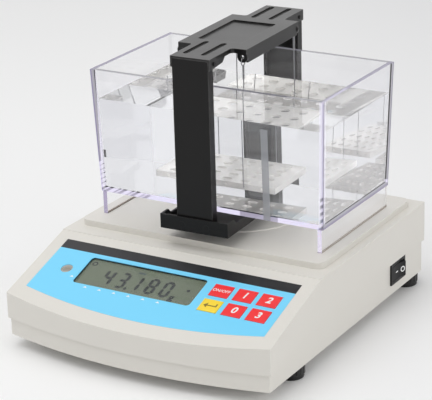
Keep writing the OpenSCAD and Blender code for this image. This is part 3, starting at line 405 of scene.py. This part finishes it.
ACRYLIC_IOR = 1.49
ACRYLIC_TINT = (0.62, 0.56, 0.85, 1.0)
ACRYLIC_DENSITY = 3.5
ACRYLIC_CLEAR = (0.985, 0.985, 1.0, 1.0)
WATER_IOR = 1.33
# acrylic under water bends light this much more than the water does
SUBMERGED_IOR = 1.07


def new_material(name, **sockets):
    """A material with one Principled BSDF, whose named sockets get plain values."""
    material = bpy.data.materials.new(name)
    material.use_nodes = True
    shader = material.node_tree.nodes["Principled BSDF"]
    for label, value in sockets.items():
        shader.inputs[label.replace("_", " ")].default_value = value
    return material.node_tree.nodes, material.node_tree.links, shader


def srgb(red, green, blue):
    """A linear colour from 0 to 255 display values."""
    def line(value):
        value /= 255
        return value / 12.92 if value <= 0.04045 else ((value + 0.055) / 1.055) ** 2.4
    return (line(red), line(green), line(blue), 1.0)


def shade(colour, share):
    return [c * share for c in colour[:3]] + [1.0]


def surfaced(nodes, links, shader, roughness, height, strength, distance):
    """Gives a shader handling marks between two roughnesses, and a bump."""
    marks = place_group(nodes, "Handling marks", Clean=roughness[0], Smeared=roughness[1])
    links.new(marks["Roughness"], shader.inputs["Roughness"])
    bump = nodes.new("ShaderNodeBump")
    bump.inputs["Strength"].default_value = strength
    bump.inputs["Distance"].default_value = distance
    links.new(height, bump.inputs["Height"])
    links.new(bump.outputs["Normal"], shader.inputs["Normal"])


def moulded(name, light, dark, roughness=(0.4, 0.5), grain=2500.0, bump=0.25, **sockets):
    """A moulded plastic or rubber, or a print on it, in two close tones, with its grain."""
    nodes, links, shader = new_material(name, **sockets)
    texture = place_group(nodes, "Moulded grain", Grain_size=grain)
    links.new(blend(nodes, links, texture["Tone"], dark, light), shader.inputs["Base Color"])
    surfaced(nodes, links, shader, roughness, texture["Height"], bump, 0.1 * MM)


def coated_metal(name, light, highlight_colour, roughness, highlight_share, **sockets):
    """A coated metal whose edges carry a painted highlight, a little brighter."""
    nodes, links, shader = new_material(name, **sockets)
    texture = place_group(nodes, "Moulded grain", Grain_size=3500.0)
    base = blend(nodes, links, texture["Tone"], shade(light, 0.8), light)
    # painted highlight along the edges
    edges = place_group(nodes, "Painted edge highlight", Width=0.7 * MM)
    highlighted = calc(nodes, links, "MULTIPLY", edges["Mask"], highlight_share)
    links.new(blend(nodes, links, highlighted, base, highlight_colour), shader.inputs["Base Color"])
    surfaced(nodes, links, shader, roughness, texture["Height"], 0.2, 0.08 * MM)


def machined(name, light, dark, roughness=(0.22, 0.38), stretch=(40.0, 40.0, 2200.0)):
    """Bare metal with fine tool marks along one direction."""
    nodes, links, shader = new_material(name, Metallic=1.0)
    scale = nodes.new("ShaderNodeMapping")
    scale.inputs["Scale"].default_value = stretch
    links.new(own_place(nodes), scale.inputs["Vector"])
    marks = noise(nodes, links, scale.outputs["Vector"], 1.0, detail=4)
    links.new(blend(nodes, links, marks, dark, light), shader.inputs["Base Color"])
    surfaced(nodes, links, shader, roughness, marks, 0.12, 0.05 * MM)


def clear_solid(name, colour, ior, roughness=0.0, transmission=1.0, tint=None, density=0.0):
    """A clear solid that lets light through to what it covers; its depth can tint it."""
    nodes, links, shader = new_material(
        name, Base_Color=colour, IOR=ior, Roughness=roughness, Transmission_Weight=transmission)
    path = nodes.new("ShaderNodeLightPath")
    through = nodes.new("ShaderNodeBsdfTransparent")
    through.inputs["Color"].default_value = colour
    choice = nodes.new("ShaderNodeMixShader")
    out = nodes["Material Output"]
    links.new(path.outputs["Is Shadow Ray"], choice.inputs["Fac"])
    links.new(shader.outputs["BSDF"], choice.inputs[1])
    links.new(through.outputs["BSDF"], choice.inputs[2])
    links.new(choice.outputs["Shader"], out.inputs["Surface"])
    if tint is not None:
        depth = nodes.new("ShaderNodeVolumeAbsorption")
        depth.inputs["Color"].default_value = tint
        depth.inputs["Density"].default_value = density
        links.new(depth.outputs["Volume"], out.inputs["Volume"])
    return nodes, links, shader


def clear_acrylic(name):
    return clear_solid(name, ACRYLIC_CLEAR, ACRYLIC_IOR, tint=ACRYLIC_TINT, density=ACRYLIC_DENSITY)


def painted_outer_glow(nodes, links, shader, painted_glow):
    """Paints a glow on a surface as emission that shows outwards only, so that light inside the wall
    doesn't add up.
    """
    surface = nodes.new("ShaderNodeNewGeometry")
    shown = blend(nodes, links, surface.outputs["Backfacing"], painted_glow, BLACK)
    links.new(shown, shader.inputs["Emission Color"])
    shader.inputs["Emission Strength"].default_value = 1.0


def tank_acrylic(name):
    """Clear acrylic whose sawn rim, corners and floor edge carry a painted violet glow, with painted shade
    on those edges.
    """
    nodes, links, shader = clear_acrylic(name)
    masks = place_group(nodes, "Sawn edges")
    # painted glow colours, lighter or darker on the side walls and on the right half as light falls there
    rim = blend(nodes, links, masks["Side"], srgb(118, 117, 124), srgb(112, 107, 130))
    corner = blend(nodes, links, masks["Right"], srgb(142, 135, 165), srgb(120, 116, 134))
    foot = blend(nodes, links, masks["Side"], srgb(168, 162, 182), srgb(140, 134, 158))
    # the walls' whole thickness gets a fainter painted glow
    painted_glow = blend(nodes, links, masks["Strip"], BLACK, srgb(166, 164, 173))
    for mask, colour in (("Foot", foot), ("Corner", corner), ("Rim", rim)):
        painted_glow = blend(nodes, links, masks[mask], painted_glow, colour)
    painted_outer_glow(nodes, links, shader, painted_glow)
    # painted shade: seen from outside, the sawn edges let less through, so that their painted glow shows
    surface = nodes.new("ShaderNodeNewGeometry")
    edges = calc(nodes, links, "MAXIMUM", masks["Strip"], masks["Rim"])
    edges = calc(nodes, links, "SUBTRACT", edges, surface.outputs["Backfacing"])
    edges = calc(nodes, links, "MAXIMUM", edges, 0.0)
    painted_edge_shade = blend(nodes, links, edges, ACRYLIC_CLEAR, (0.34, 0.33, 0.38, 1.0))
    links.new(painted_edge_shade, shader.inputs["Base Color"])


def skirt_acrylic(name):
    """Clear acrylic plate whose narrow ends carry a painted violet glow and whose foot is darkened by a
    painted contact shadow where it sits.
    """
    nodes, links, shader = clear_acrylic(name)
    facing = calc(nodes, links, "ABSOLUTE", axes(nodes, links, true_normal(nodes))["Y"])
    end = calc(nodes, links, "GREATER_THAN", facing, 0.9)
    # painted violet glow on the plate's narrow ends
    painted_outer_glow(nodes, links, shader, blend(nodes, links, end, BLACK, srgb(140, 132, 164)))
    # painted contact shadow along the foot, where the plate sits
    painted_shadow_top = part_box("right_skirt")[0].z + 0.7 * MM
    foot = calc(nodes, links, "LESS_THAN", axes(nodes, links, own_place(nodes))["Z"], painted_shadow_top)
    links.new(blend(nodes, links, foot, ACRYLIC_CLEAR, srgb(120, 102, 88)), shader.inputs["Base Color"])


def printed_panel(name, ground, band, band_low):
    """Satin printed film with a dark band along its upper edge."""
    nodes, links, shader = new_material(
        name, Coat_Weight=0.1, Coat_Roughness=0.35, Specular_IOR_Level=0.3)
    back = calc(nodes, links, "SUBTRACT", axes(nodes, links, own_place(nodes))["Y"], CORNER_Y)
    up_slope = calc(nodes, links, "DIVIDE", back, math.cos(PANEL_TILT))
    soft_edge = 0.15 * MM
    inside = remap(nodes, links, up_slope, (band_low, band_low + soft_edge))
    texture = place_group(nodes, "Moulded grain", Grain_size=1800.0, Drift_size=9.0)
    tone = blend(nodes, links, texture["Tone"], shade(ground, 0.97), ground)
    links.new(blend(nodes, links, inside, tone, band), shader.inputs["Base Color"])
    surfaced(nodes, links, shader, (0.32, 0.42), texture["Height"], 0.1, 0.04 * MM)


# Settings

class DensityMeterColours(bpy.types.PropertyGroup):
    housing: bpy.props.FloatVectorProperty(
        name="Housing", description="Colour of the moulded case",
        subtype="COLOR", size=4, min=0, max=1, default=srgb(224, 221, 214))
    overlay: bpy.props.FloatVectorProperty(
        name="Overlay", description="Ground colour of the printed panel",
        subtype="COLOR", size=4, min=0, max=1, default=srgb(124, 217, 255))
    band: bpy.props.FloatVectorProperty(
        name="Band", description="Colour of the panel's dark band",
        subtype="COLOR", size=4, min=0, max=1, default=srgb(30, 30, 33))
    keys: bpy.props.FloatVectorProperty(
        name="Keys", description="Colour of the number keys",
        subtype="COLOR", size=4, min=0, max=1, default=srgb(250, 52, 56))
    enter: bpy.props.FloatVectorProperty(
        name="Enter key", description="Colour of the enter key",
        subtype="COLOR", size=4, min=0, max=1, default=srgb(255, 222, 60))
    frame: bpy.props.FloatVectorProperty(
        name="Frame", description="Colour of the weighing frame's coating",
        subtype="COLOR", size=4, min=0, max=1, default=srgb(20, 19, 19))


class DensityMeterSizes(bpy.types.PropertyGroup):
    water_level: bpy.props.FloatProperty(
        name="Water level", description="Height of the water above the bench",
        subtype="DISTANCE", unit="LENGTH", default=0.141, min=0.1, max=0.158)
    water_gap: bpy.props.FloatProperty(
        name="Water gap", description="Clearance between the water and the tank's walls",
        subtype="DISTANCE", unit="LENGTH", default=0.00012, min=0.00005, max=0.001)
    band_low: bpy.props.FloatProperty(
        name="Band foot", description="Distance up the slope to the dark band",
        subtype="DISTANCE", unit="LENGTH", default=0.0508, min=0.048, max=0.056)


def colours():
    return bpy.context.scene.density_meter_colours


def sizes():
    return bpy.context.scene.density_meter_sizes


def give(names, material):
    """Gives CAD nodes a finish."""
    for name in names:
        slots = frame["nodes"][name].data.materials
        slots.clear()
        slots.append(bpy.data.materials[material])


# name: light tone, dark tone, roughness where clean and smeared, grain and bump
PLASTICS = {
    "white print": ((250, 250, 250), (240, 240, 240), (0.35, 0.45), 2500.0, 0.05),
    "black plastic": ((34, 33, 34), (26, 25, 26), (0.28, 0.4), 2600.0, 0.2),
    "black rubber": ((30, 30, 30), (20, 20, 20), (0.55, 0.75), 1600.0, 0.5),
    "grey cable": ((150, 150, 152), (135, 135, 138), (0.4, 0.5), 2500.0, 0.25),
    "key switch black": ((28, 28, 30), (20, 20, 22), (0.3, 0.5), 2500.0, 0.25),
    "level vial": ((168, 160, 148), (150, 142, 130), (0.15, 0.3), 2500.0, 0.05),
    "level print": ((196, 190, 180), (184, 178, 168), (0.3, 0.4), 2500.0, 0.05),
    "board green": ((20, 92, 50), (14, 72, 38), (0.25, 0.4), 900.0, 0.4),
    "display ground": ((90, 97, 80), (84, 91, 75), (0.35, 0.42), 2500.0, 0.04),
    "display digit": ((16, 22, 26), (12, 17, 20), (0.4, 0.5), 2500.0, 0.03),
    "display shade": ((66, 76, 78), (60, 70, 72), (0.4, 0.5), 2500.0, 0.03),
    "enter print": ((140, 122, 40), (128, 110, 34), (0.35, 0.45), 2500.0, 0.05),
}


# Operators

class DENSITY_OT_finishes(bpy.types.Operator):
    """Builds the shader groups and every finish"""
    bl_idname = "density.finishes"
    bl_label = "Finishes"

    def execute(self, context):
        smooth_by_angle()
        sawn_edges_group()
        moulded_grain_group()
        painted_edge_highlight_group()
        handling_marks_group()
        self.plastics(colours())
        self.metals(colours())
        self.clear_finishes()
        return {"FINISHED"}

    @staticmethod
    def plastics(pick):
        moulded("case plastic", pick.housing, shade(pick.housing, 0.965), (0.42, 0.52),
                grain=2200.0, bump=0.3, IOR=1.48)
        printed_panel("panel film", pick.overlay, pick.band, sizes().band_low)
        moulded("red key film", pick.keys, shade(pick.keys, 0.93), (0.3, 0.4), grain=1500.0, bump=0.08)
        moulded("yellow key film", pick.enter, shade(pick.enter, 0.95), (0.3, 0.4),
                grain=1500.0, bump=0.08)
        moulded("switch plastic", srgb(24, 23, 24), srgb(17, 16, 17), (0.3, 0.42),
                grain=2600.0, bump=0.2, Specular_IOR_Level=0.22)
        moulded("strip film", srgb(188, 190, 194), srgb(178, 180, 185), (0.35, 0.5),
                bump=0.05, Alpha=0.55)
        for name, (light, dark, roughness, grain, bump) in PLASTICS.items():
            moulded(name, srgb(*light), srgb(*dark), roughness, grain, bump)

    @staticmethod
    def metals(pick):
        # painted edge highlights: bright on the bridge and posts, dull on the beam
        bright_highlight, dull_highlight = srgb(150, 148, 146), srgb(70, 69, 68)
        coated_metal("frame black", pick.frame, bright_highlight, (0.28, 0.38), 0.6, Specular_IOR_Level=0.42)
        coated_metal("post black", pick.frame, bright_highlight, (0.28, 0.38), 0.6, Specular_IOR_Level=0.25)
        coated_metal("beam black", pick.frame, dull_highlight, (0.32, 0.42), 0.15, Specular_IOR_Level=0.25)
        machined("steel", srgb(205, 206, 208), srgb(168, 170, 173))
        machined("wire steel", srgb(170, 170, 172), srgb(125, 125, 128))
        machined("brass", srgb(214, 180, 110), srgb(186, 150, 84))
        machined("cell aluminium", srgb(214, 216, 218), srgb(186, 188, 191), (0.3, 0.45),
                 (2000.0, 60.0, 60.0))

    @staticmethod
    def clear_finishes():
        tank_acrylic("tank acrylic")
        skirt_acrylic("skirt acrylic")
        clear_solid("submerged acrylic", (1.0, 0.985, 0.96, 1.0), SUBMERGED_IOR, transmission=0.5,
                    tint=(0.75, 0.75, 0.8, 1.0), density=4.0)
        clear_solid("water", (0.985, 0.995, 0.995, 1.0), WATER_IOR)
        # a thin window hardly bends what is seen through it
        clear_solid("lens", (0.97, 0.98, 0.98, 1.0), 1.15, roughness=0.02)


class DENSITY_OT_housing(bpy.types.Operator):
    """Finishes the shells, the feet, the switch and what the case holds"""
    bl_idname = "density.housing"
    bl_label = "Housing"

    def execute(self, context):
        give(["upper_shell", "lower_shell"], "case plastic")
        give(["rocker_frame", "rocker"], "switch plastic")
        give(["power_inlet", "display_bezel"] + WHEELS, "black plastic")
        give(PADS, "black rubber")
        give(["level_vial"], "level vial")
        give(["display_board", "main_board"], "board green")
        give(["key_switches"], "key switch black")
        give(["ribbon_cable", "load_cell_cable"], "grey cable")
        give(["board_screws", "shell_screws", "load_cell_screws", "overload_stop",
              "spindle_screws", "beam_screws", "weighing_spindle"], "steel")
        give(["foot_inserts"], "brass")
        give(["load_cell", "load_cell_block"], "cell aluminium")
        soften(["upper_shell", "lower_shell"], 0.8, 3)
        soften(["rocker_frame", "power_inlet"], 0.25)
        soften(["rocker"], 0.3)
        soften(WHEELS + PADS, 0.4)
        self.switch_marks()
        return {"FINISHED"}

    @staticmethod
    def switch_marks():
        """The dash and the ring on the two faces of the rocker."""
        low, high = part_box("rocker_frame")
        pivot = Vector((high.x - 5 * MM, (low.y + high.y) / 2, (low.z + high.z) / 2))

        def on_face(start, end, share):
            """A matrix on the rocker's face between two points of its plan, in mm."""
            along = Vector((end[0] - start[0], end[1] - start[1], 0))
            spot = pivot + (Vector((start[0], start[1], 0)) + along * share) * MM
            along.normalize()
            up = Vector((0, 0, 1))
            out = along.cross(up)
            turn = Matrix((along, up, out)).transposed().to_4x4()
            return Matrix.Translation(spot + out * 0.01 * MM) @ turn

        # the rocker's plan: its front end, the crest between its faces and its raised rear end
        face_x, half_length, rise = 5, 8.4, math.radians(17.6)
        reach = math.hypot(face_x, half_length)
        tilt = math.atan2(half_length, face_x) - rise
        front, crest = (face_x, -half_length), (5.15, 0.2)
        rear = (reach * math.cos(tilt), reach * math.sin(tilt))
        plate("switch_dash", rounded_outline(3.0, 0.8, 0.3), on_face(front, crest, 0.68),
              "switch_rocker", "white print")
        solid("switch_ring", ring(2.0, 1.25, PRINT, on_face(crest, rear, 0.56)),
              "switch_rocker", "white print")


class DENSITY_OT_panel(bpy.types.Operator):
    """Finishes the printed overlay, the window, the keys and the display"""
    bl_idname = "density.panel"
    bl_label = "Panel"

    # which of a digit's seven bars are dark
    BARS = {"0": "abcdef", "1": "bc", "3": "abcdg", "4": "bcfg", "8": "abcdefg"}

    def execute(self, context):
        give(["panel_overlay"], "panel film")
        give(["display_window"], "lens")
        give(["display_module"], "display ground")
        give(RED_KEYS, "red key film")
        give(["enter_key"], "yellow key film")
        soften(RED_KEYS + ["enter_key", "level_vial"], 0.3)
        self.reading()
        self.key_figures()
        self.window_marks()
        self.level_ring()
        return {"FINISHED"}

    @staticmethod
    def bar(start, end, stroke):
        """Outline of one upright or level bar with pointed ends, in mm."""
        h = stroke / 2
        g = 0.12
        (x0, v0), (x1, v1) = start, end
        if abs(x1 - x0) > abs(v1 - v0):
            return [(x0 + g, v0), (x0 + g + h, v0 - h), (x1 - g - h, v1 - h), (x1 - g, v1),
                    (x1 - g - h, v1 + h), (x0 + g + h, v0 + h)]
        return [(x0, v0 + g), (x0 + h, v0 + g + h), (x1 + h, v1 - g - h), (x1, v1 - g),
                (x1 - h, v1 - g - h), (x0 - h, v0 + g + h)]

    def digit(self, figure, x):
        """Outlines of the dark bars of one digit whose middle is at x."""
        low, high, half_width, stroke = 25.6, 40.8, 3.5, 2.15
        shift = -0.9 if figure == "1" else 0.0
        left, right = (x + shift + side * (half_width - stroke / 2) for side in (-1, 1))
        foot, middle, head = low + stroke / 2, (low + high) / 2, high - stroke / 2
        ends = {"a": ((left, head), (right, head)), "b": ((right, middle), (right, head)),
                "c": ((right, foot), (right, middle)), "d": ((left, foot), (right, foot)),
                "e": ((left, foot), (left, middle)), "f": ((left, middle), (left, head)),
                "g": ((left, middle), (right, middle))}
        return [self.bar(*ends[name], stroke) for name in self.BARS[figure]]

    def reading(self):
        """The figures and signs on the display."""
        body, slot, ink = "housing", "black_plastic", "display digit"
        first, pitch = -38.8, 10.8
        outlines = []
        for i, figure in enumerate("43180"):
            outlines += self.digit(figure, first + pitch * i)
        outlines.append(circle_outline(1.15, 16, (-22.6, 26.6)))
        outlines.append(circle_outline(1.2, 16, (18.6, 36.0)))
        parts = [prism(outline, DISPLAY_W, DISPLAY_W + 0.04, panel_matrix(0, 0)) for outline in outlines]
        solid("display_digits", joined(parts), body, ink)
        words("display_unit", "g", 5.4, panel_matrix(11.2, 27.2, DISPLAY_W + 0.02), body, ink,
              bold=0.3)
        solid("display_zero_sign", ring(2.0, 1.05, 0.04, panel_matrix(-54.9, 43.2, DISPLAY_W)),
              body, ink)
        plate("display_stable_sign", rounded_outline(5.2, 1.6, 0.4),
              panel_matrix(-19.0, 43.0, DISPLAY_W), body, "display shade")

    @staticmethod
    def key_figures():
        """Plain figures on the keys."""
        key_top = 0.35
        first_x, first_v, step_x, step_v = 40.25, 25.5, 16.75, 14.5
        places = {"first_key": ("1", 1, 1), "second_key": ("2", 2, 1),
                  "zero_key": ("0", 1, 0), "third_key": ("3", 2, 0)}
        for key, (figure, column, row) in places.items():
            place = panel_matrix(first_x + step_x * column, first_v + step_v * row, key_top + 0.03)
            words(f"{key}_figure", figure, 5.3, place, key, "white print",
                  shear=0.15, bold=0.18)
        place = panel_matrix(first_x, first_v + step_v, key_top + 0.03)
        words("power_key_figure", "ON/OFF", 2.35, place, "power_key", "white print",
              shear=0.1, bold=0.03)
        arrow = [(-4.6, 0), (-2.0, 2.2), (-2.0, 0.45), (3.6, 0.45), (3.6, 2.4), (4.6, 2.4),
                 (4.6, -0.45), (-2.0, -0.45), (-2.0, -2.2)]
        plate("enter_key_arrow", arrow, panel_matrix(first_x, 25.3, key_top + 0.01), "enter_key",
              "enter print")

    @staticmethod
    def window_marks():
        """Small wedges under and beside the window."""
        wedge = [(-1.4, -0.5), (1.4, -0.5), (0.0, 0.9)]
        places = [(-47.3 + 10.72 * i, 18.9) for i in range(6)] + [(-61.9, 26.2)]
        marks = [prism(wedge, 0.01, PRINT, panel_matrix(x, v)) for x, v in places]
        solid("window_marks", joined(marks), "housing", "white print")

    @staticmethod
    def level_ring():
        low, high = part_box("level_vial")
        top = Vector(((low.x + high.x) / 2, (low.y + high.y) / 2, high.z))
        solid("level_ring", ring(3.6, 3.0, 0.05, Matrix.Translation(top)), "housing",
              "level print")


class DENSITY_OT_weighing_frame(bpy.types.Operator):
    """Finishes the bridge, the posts, the beam and the wires"""
    bl_idname = "density.weighing_frame"
    bl_label = "Weighing frame"

    def execute(self, context):
        give(["bridge"], "frame black")
        give(["front_post", "rear_post"], "post black")
        give(["cross_beam", "post_screws", "bridge_screws"], "beam black")
        give(WIRES, "wire steel")
        soften(["bridge"], 0.55)
        soften(["front_post", "rear_post", "cross_beam"], 0.45)
        soften(WIRES, 0)
        for name in WIRES:
            thinner = frame["nodes"][name].modifiers.new("thinner", "DISPLACE")
            thinner.mid_level = 0.0
            thinner.strength = -0.13 * MM
        return {"FINISHED"}


class DENSITY_OT_tank(bpy.types.Operator):
    """Finishes the tank, its skirts, its strip and the basket"""
    bl_idname = "density.tank"
    bl_label = "Tank"

    def execute(self, context):
        give(["tank"], "tank acrylic")
        give(["left_skirt", "right_skirt"], "skirt acrylic")
        give(["basket_plate"], "submerged acrylic")
        give(["fill_strip"], "strip film")
        soften(["basket_plate"], 0)
        return {"FINISHED"}


class DENSITY_OT_water(bpy.types.Operator):
    """Fills the tank with water up to its level"""
    bl_idname = "density.water"
    bl_label = "Water"

    def execute(self, context):
        gap = sizes().water_gap
        inset = TANK_TAPER + TANK_WALL + gap
        foot_x = (TANK_HIGH.x - TANK_LOW.x) / 2 - inset
        foot_y = (TANK_HIGH.y - TANK_LOW.y) / 2 - inset
        bm = bmesh.new()
        rings = []
        for z in (TANK_LOW.z + TANK_FLOOR + gap, sizes().water_level):
            grow = TANK_LEAN * (z - TANK_LOW.z)
            rings.append([
                bm.verts.new((MIDDLE_X + sx * (foot_x + grow), TANK_Y + sy * (foot_y + grow), z))
                for sx, sy in ((-1, -1), (1, -1), (1, 1), (-1, 1))])
        close_solid(bm, *rings)
        solid("tank_water", bm, "water_tank", "water")
        return {"FINISHED"}


class DENSITY_OT_studio(bpy.types.Operator):
    """Adds the floor, the soft lights and the camera"""
    bl_idname = "density.studio"
    bl_label = "Studio"

    YAW, PITCH, ROLL = 0.5367, 0.3387, -0.0275
    # name: place, what it faces, the side of its square and its power
    LAMPS = {
        "overhead softbox": ((-0.3, -0.35, 1.55), (0, 0, 0.05), 1.4, 10),
        "left softbox": ((-1.5, -0.9, 0.9), (0, 0, 0.08), 1.0, 3.5),
        "right softbox": ((1.6, -0.1, 0.8), (0, 0, 0.05), 1.0, 6),
    }

    def execute(self, context):
        scene = context.scene
        self.floor(scene)
        self.room(scene)
        self.lamps(scene)
        self.camera(scene)
        scene.view_settings.view_transform = "Standard"
        # clear walls behind clear walls need many bounces
        scene.cycles.max_bounces = 40
        scene.cycles.transmission_bounces = 40
        scene.cycles.glossy_bounces = 12
        scene.cycles.transparent_max_bounces = 24
        return {"FINISHED"}

    def floor(self, scene):
        """A pale floor with painted shade that darkens it a little towards the right."""
        nodes, links, shader = new_material("studio floor", Roughness=0.6, Specular_IOR_Level=0.3)
        place = axes(nodes, links, own_place(nodes))
        aside = calc(nodes, links, "ADD",
                     calc(nodes, links, "MULTIPLY", place["X"], math.cos(self.YAW)),
                     calc(nodes, links, "MULTIPLY", place["Y"], math.sin(self.YAW)))
        # painted shade: the floor's colour darkens towards the right as the light falls off
        painted_falloff = remap(nodes, links, aside, (-0.05, 0.3), kind="SMOOTHSTEP")
        links.new(blend(nodes, links, painted_falloff, srgb(247, 247, 247), srgb(240, 240, 241)),
                  shader.inputs["Base Color"])
        bm = bmesh.new()
        bmesh.ops.create_grid(bm, x_segments=2, y_segments=2, size=6.0)
        mesh = bpy.data.meshes.new("floor")
        bm.to_mesh(mesh)
        bm.free()
        mesh.materials.append(bpy.data.materials["studio floor"])
        floor = bpy.data.objects.new("floor", mesh)
        scene.collection.objects.link(floor)

    @staticmethod
    def room(scene):
        """A grey room that shows brighter behind the object and in what mirrors it."""
        plain, behind, through_glass = 0.56, 0.74, 0.84
        mirrored_dark, mirrored_bright = 0.12, 1.15
        world = bpy.data.worlds.new("studio")
        scene.world = world
        world.use_nodes = True
        nodes, links = world.node_tree.nodes, world.node_tree.links

        def do(operation, *operands):
            return calc(nodes, links, operation, *operands)

        # what is mirrored is bright above and behind, and dim on the side of the panel
        way = axes(nodes, links, nodes.new("ShaderNodeTexCoord").outputs["Generated"])
        high_and_back = do("ADD", way["Y"], do("MULTIPLY", way["Z"], 0.8))
        mirrored = remap(nodes, links, high_and_back, (-0.55, 0.55), (mirrored_dark, mirrored_bright))
        path = nodes.new("ShaderNodeLightPath").outputs
        through = path["Is Transmission Ray"]
        # a ray that has passed through glass counts as glossy too, and keeps its own level
        only_mirrored = do("MULTIPLY", path["Is Glossy Ray"], do("SUBTRACT", 1.0, through))
        strength = do("ADD", plain, do("MULTIPLY", do("SUBTRACT", mirrored, plain), only_mirrored))
        strength = do("ADD", strength, do("MULTIPLY", through, through_glass - plain))
        strength = do("ADD", strength, do("MULTIPLY", path["Is Camera Ray"], behind - plain))
        ground = nodes["Background"]
        ground.inputs["Color"].default_value = (1.0, 1.0, 1.0, 1.0)
        links.new(strength, ground.inputs["Strength"])

    def lamps(self, scene):
        for name, (place, aim, size, power) in self.LAMPS.items():
            data = bpy.data.lights.new(name, "AREA")
            data.shape = "RECTANGLE"
            data.size = data.size_y = size
            data.energy = power
            lamp = bpy.data.objects.new(name, data)
            lamp.location = place
            lamp.rotation_mode = "QUATERNION"
            lamp.rotation_quaternion = (Vector(aim) - Vector(place)).to_track_quat("-Z", "Y")
            scene.collection.objects.link(lamp)

    def camera(self, scene):
        """A camera for an image of 432 by 400 pixels."""
        width, height = 432, 400
        focal_length, optical_x, optical_y = 1911.925, 224.4363, 170.5988
        distance, aside, above = 1.1550417, 0.0580003, 0.0673677
        data = bpy.data.cameras.new("camera")
        data.sensor_width = 36.0
        data.lens = focal_length / width * data.sensor_width
        data.shift_x = (width / 2 - optical_x) / width
        data.shift_y = (optical_y - height / 2) / width
        data.clip_start, data.clip_end = 0.1, 20
        camera = bpy.data.objects.new("camera", data)
        back = Vector((math.sin(self.YAW) * math.cos(self.PITCH),
                       -math.cos(self.YAW) * math.cos(self.PITCH), math.sin(self.PITCH)))
        right = Vector((math.cos(self.YAW), math.sin(self.YAW), 0))
        up = back.cross(right)
        place = Vector((MIDDLE_X, CORNER_Y, 0.06)) + back * distance + right * aside + up * above
        level = math.cos(self.ROLL) * right + math.sin(self.ROLL) * up
        upright = -math.sin(self.ROLL) * right + math.cos(self.ROLL) * up
        turn = Matrix((level, upright, back)).transposed()
        camera.matrix_world = Matrix.Translation(place) @ turn.to_4x4()
        scene.collection.objects.link(camera)
        scene.camera = camera


class DENSITY_PT_sidebar(bpy.types.Panel):
    """Lists the density meter's settings and steps"""
    bl_idname = "DENSITY_PT_sidebar"
    bl_label = "Density Meter"
    bl_space_type = "VIEW_3D"
    bl_region_type = "UI"
    bl_category = "Density Meter"

    def draw(self, context):
        layout = self.layout
        for group in (colours(), sizes()):
            box = layout.box()
            for name in group.bl_rna.properties.keys():
                if name not in ("rna_type", "name"):
                    box.prop(group, name)
        for step in STEPS:
            layout.operator(step.bl_idname)


STEPS = (DENSITY_OT_finishes, DENSITY_OT_housing, DENSITY_OT_panel, DENSITY_OT_weighing_frame,
         DENSITY_OT_tank, DENSITY_OT_water, DENSITY_OT_studio)
CLASSES = (DensityMeterColours, DensityMeterSizes) + STEPS + (DENSITY_PT_sidebar,)


def register():
    for kind in CLASSES:
        bpy.utils.register_class(kind)
    bpy.types.Scene.density_meter_colours = bpy.props.PointerProperty(type=DensityMeterColours)
    bpy.types.Scene.density_meter_sizes = bpy.props.PointerProperty(type=DensityMeterSizes)


def unregister():
    del bpy.types.Scene.density_meter_sizes
    del bpy.types.Scene.density_meter_colours
    for kind in reversed(CLASSES):
        bpy.utils.unregister_class(kind)


def main():
    register()
    for step in STEPS:
        group, name = step.bl_idname.split(".")
        getattr(getattr(bpy.ops, group), name)()


if __name__ == "__main__":
    main()
